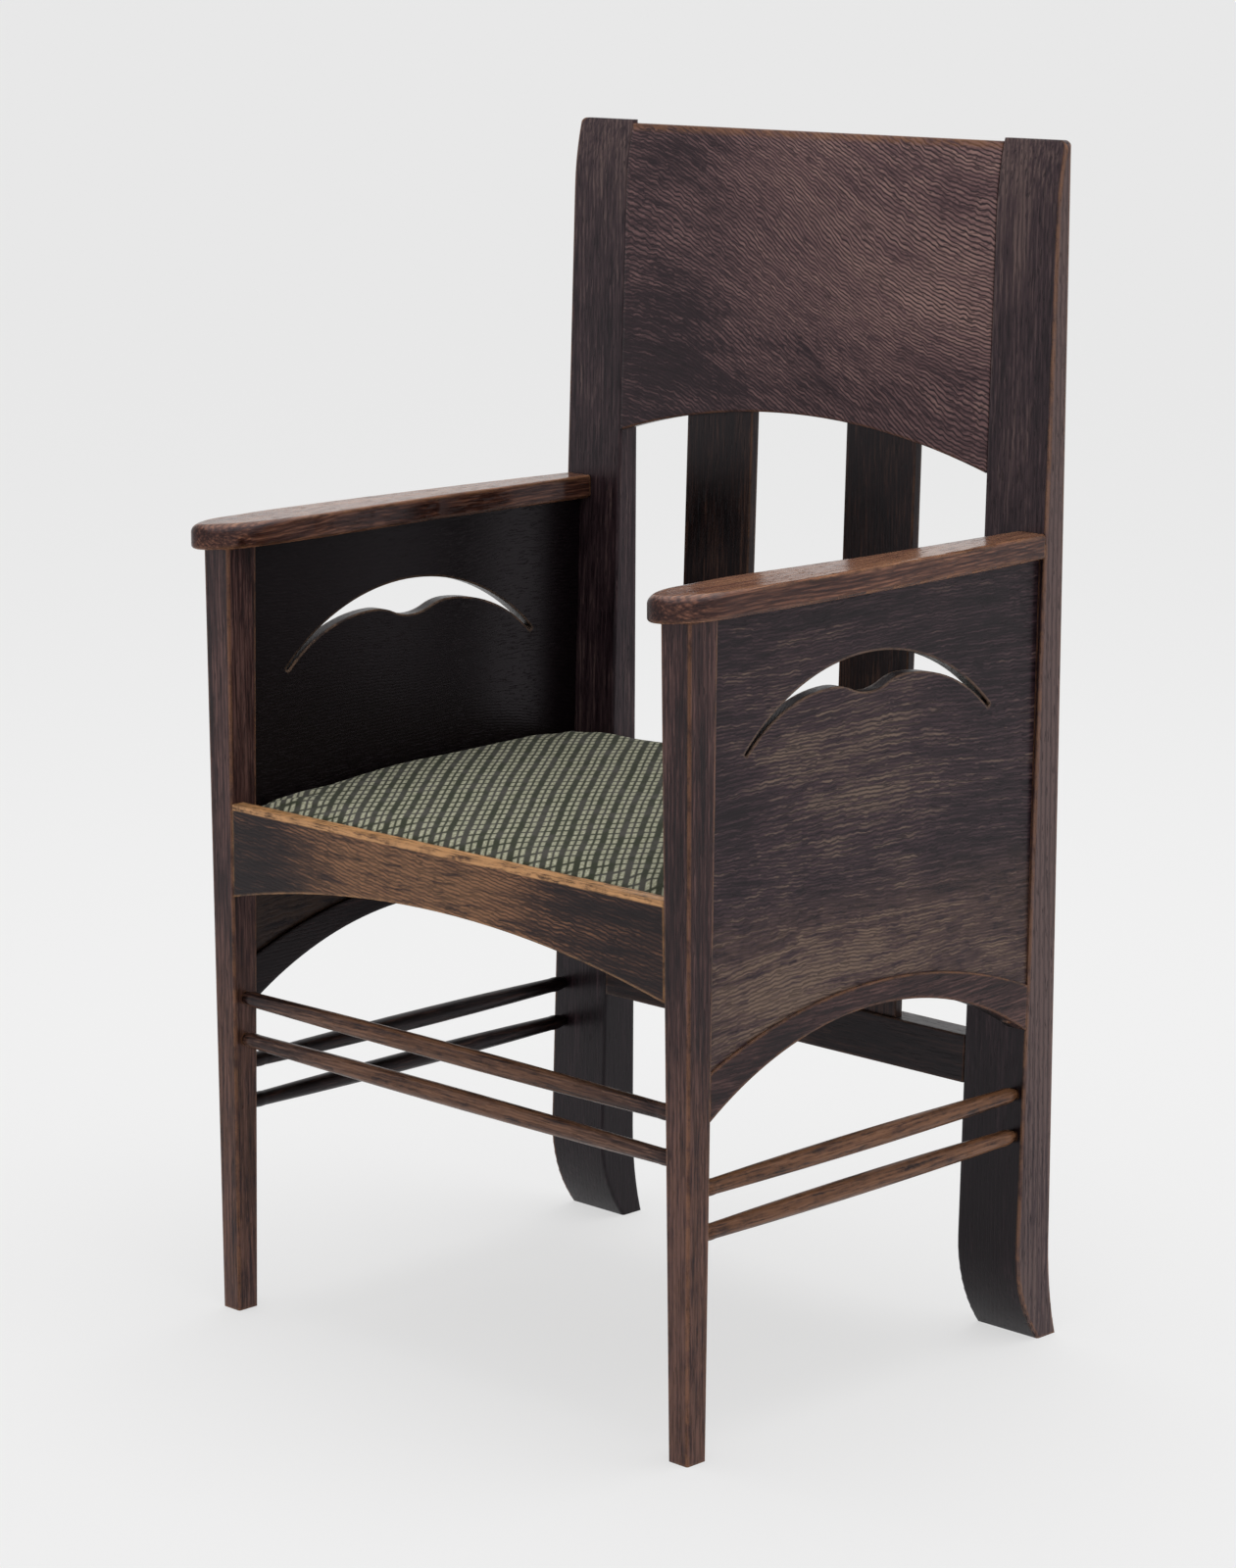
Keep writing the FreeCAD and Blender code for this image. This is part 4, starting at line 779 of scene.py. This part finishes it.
# Canvas: a sheet of plain linen stretched over the webbing and tacked to the seat's frame, under
# the stuffing.
canvas_low, canvas_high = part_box("seat_canvas")
SHARE_OF_WIDTH = 0.96
SET_IN = 0.006
BELOW_TOP = 0.0004
RIPPLE = 0.0003
RIPPLE_TURNS = 70.0
canvas_size = (
    (canvas_high.x - canvas_low.x) * SHARE_OF_WIDTH, canvas_high.y - canvas_low.y - 2 * SET_IN
)
canvas_middle = (canvas_low.y + canvas_high.y) / 2
cells = bmesh.new()
bmesh.ops.create_grid(cells, x_segments=60, y_segments=44, size=0.5)
for vertex in cells.verts:
    x = vertex.co.x * canvas_size[0]
    y = canvas_middle + vertex.co.y * canvas_size[1]
    ripple = RIPPLE * math.sin(x * RIPPLE_TURNS) * math.sin(y * RIPPLE_TURNS)
    vertex.co = (x, y, canvas_high.z - BELOW_TOP + ripple)
canvas = new_piece("canvas_sheet", cells)
linen = Finish(bpy.data.materials.new("plain_linen"))
linen_colour = linen.mix(
    plain_weave(linen, linen.place(), 420.0), rgb(0.24, 0.19, 0.12), rgb(0.46, 0.38, 0.26)
)
canvas.data.materials.append(linen.surface(base_color=linen_colour, roughness=0.9))
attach(canvas, "seat")
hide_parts("seat_canvas")


# Studio: a pale seamless floor, a plain white surround and one broad soft lamp overhead. How pale
# the camera sees floor and surround, also mirrored and through glass, is apart from their light.
def watched(finish):
    """1 for a ray that comes from the camera, straight, mirrored or through glass."""
    straight, mirrored, clear = (
        finish.node("ShaderNodeLightPath", {}, {}, f"Is {kind} Ray")
        for kind in ("Camera", "Glossy", "Transmission")
    )
    return straight + mirrored + clear


FLOOR = 60.0
FLOOR_SEEN = 0.92
FLOOR_SEEN_SHARE = 0.64
SURROUND_SEEN = 0.82
SURROUND_LIGHT = 0.68
LAMP_PLACE = (0.1, 0.5, 3.2)
LAMP_TARGET = (0.0, 0.0, 0.5)
LAMP_WIDTH = 3.2
LAMP_DEPTH = 2.6
LAMP_POWER = 36.0
floor_data = bpy.data.meshes.new("studio_floor")
floor_data.from_pydata(
    [(-FLOOR, -FLOOR, 0), (FLOOR, -FLOOR, 0), (FLOOR, FLOOR, 0), (-FLOOR, FLOOR, 0)], [], [(0, 1, 2, 3)]
)
floor = bpy.data.objects.new("studio_floor", floor_data)
scene.collection.objects.link(floor)
ground = Finish(bpy.data.materials.new("pale_ground"))
ground_speck = ground.noise(ground.place(), 3.0, 2.0, 0.55)
ground_colour = ground.mix(ground_speck * 0.1, rgb(0.88, 0.88, 0.88), rgb(0.86, 0.86, 0.86))
lit = ground.principled(base_color=ground_colour, roughness=0.9, specular_ior_level=0.1)
pale = ground.node("ShaderNodeEmission", {}, {"Color": rgb(FLOOR_SEEN, FLOOR_SEEN, FLOOR_SEEN)})
floor_shade = ground.node("ShaderNodeMixShader", {}, [watched(ground) * FLOOR_SEEN_SHARE, lit, pale])
floor_data.materials.append(ground.closed(floor_shade))

surround = Finish(bpy.data.worlds.new("studio"))
seen = surround.node(
    "ShaderNodeBackground", {}, {"Color": rgb(SURROUND_SEEN, SURROUND_SEEN, SURROUND_SEEN)}
)
light = surround.node(
    "ShaderNodeBackground", {}, {"Color": rgb(1.0, 1.0, 1.0), "Strength": SURROUND_LIGHT}
)
world_shade = surround.node("ShaderNodeMixShader", {}, [watched(surround), light, seen])
scene.world = surround.closed(world_shade, "ShaderNodeOutputWorld")

lamp_data = bpy.data.lights.new("soft_lamp", "AREA")
lamp_data.shape = "RECTANGLE"
lamp_data.size = LAMP_WIDTH
lamp_data.size_y = LAMP_DEPTH
lamp_data.energy = LAMP_POWER
lamp = bpy.data.objects.new("soft_lamp", lamp_data)
lamp.location = LAMP_PLACE
lamp.rotation_euler = (Vector(LAMP_TARGET) - lamp.location).to_track_quat("-Z", "Y").to_euler()
scene.collection.objects.link(lamp)


# Camera: a long lens a little above the arms, to the chair's front right. Its place, turn and lens
# were solved from the chair's own points in the photograph.
CAMERA_PLACE = (2.42055, -2.40749, 1.16459)
CAMERA_TURN = 44.7776
CAMERA_DOWN = 9.7031
CAMERA_ROLL = -0.2352
camera_data = bpy.data.cameras.new("camera")
camera_data.sensor_fit = "VERTICAL"
camera_data.sensor_height = 36.0
camera_data.lens = 99.107
camera_data.shift_x = -0.0211
camera_data.shift_y = -0.1
camera_data.clip_end = 200.0
camera = bpy.data.objects.new("camera", camera_data)
turn = Matrix.Rotation(math.radians(CAMERA_TURN), 4, "Z")
tilt = Matrix.Rotation(math.radians(90.0 - CAMERA_DOWN), 4, "X")
roll = Matrix.Rotation(math.radians(CAMERA_ROLL), 4, "Z")
camera.matrix_world = Matrix.Translation(CAMERA_PLACE) @ turn @ tilt @ roll
scene.collection.objects.link(camera)
scene.camera = camera
scene.view_settings.view_transform = "Standard"

bpy.context.view_layer.update()
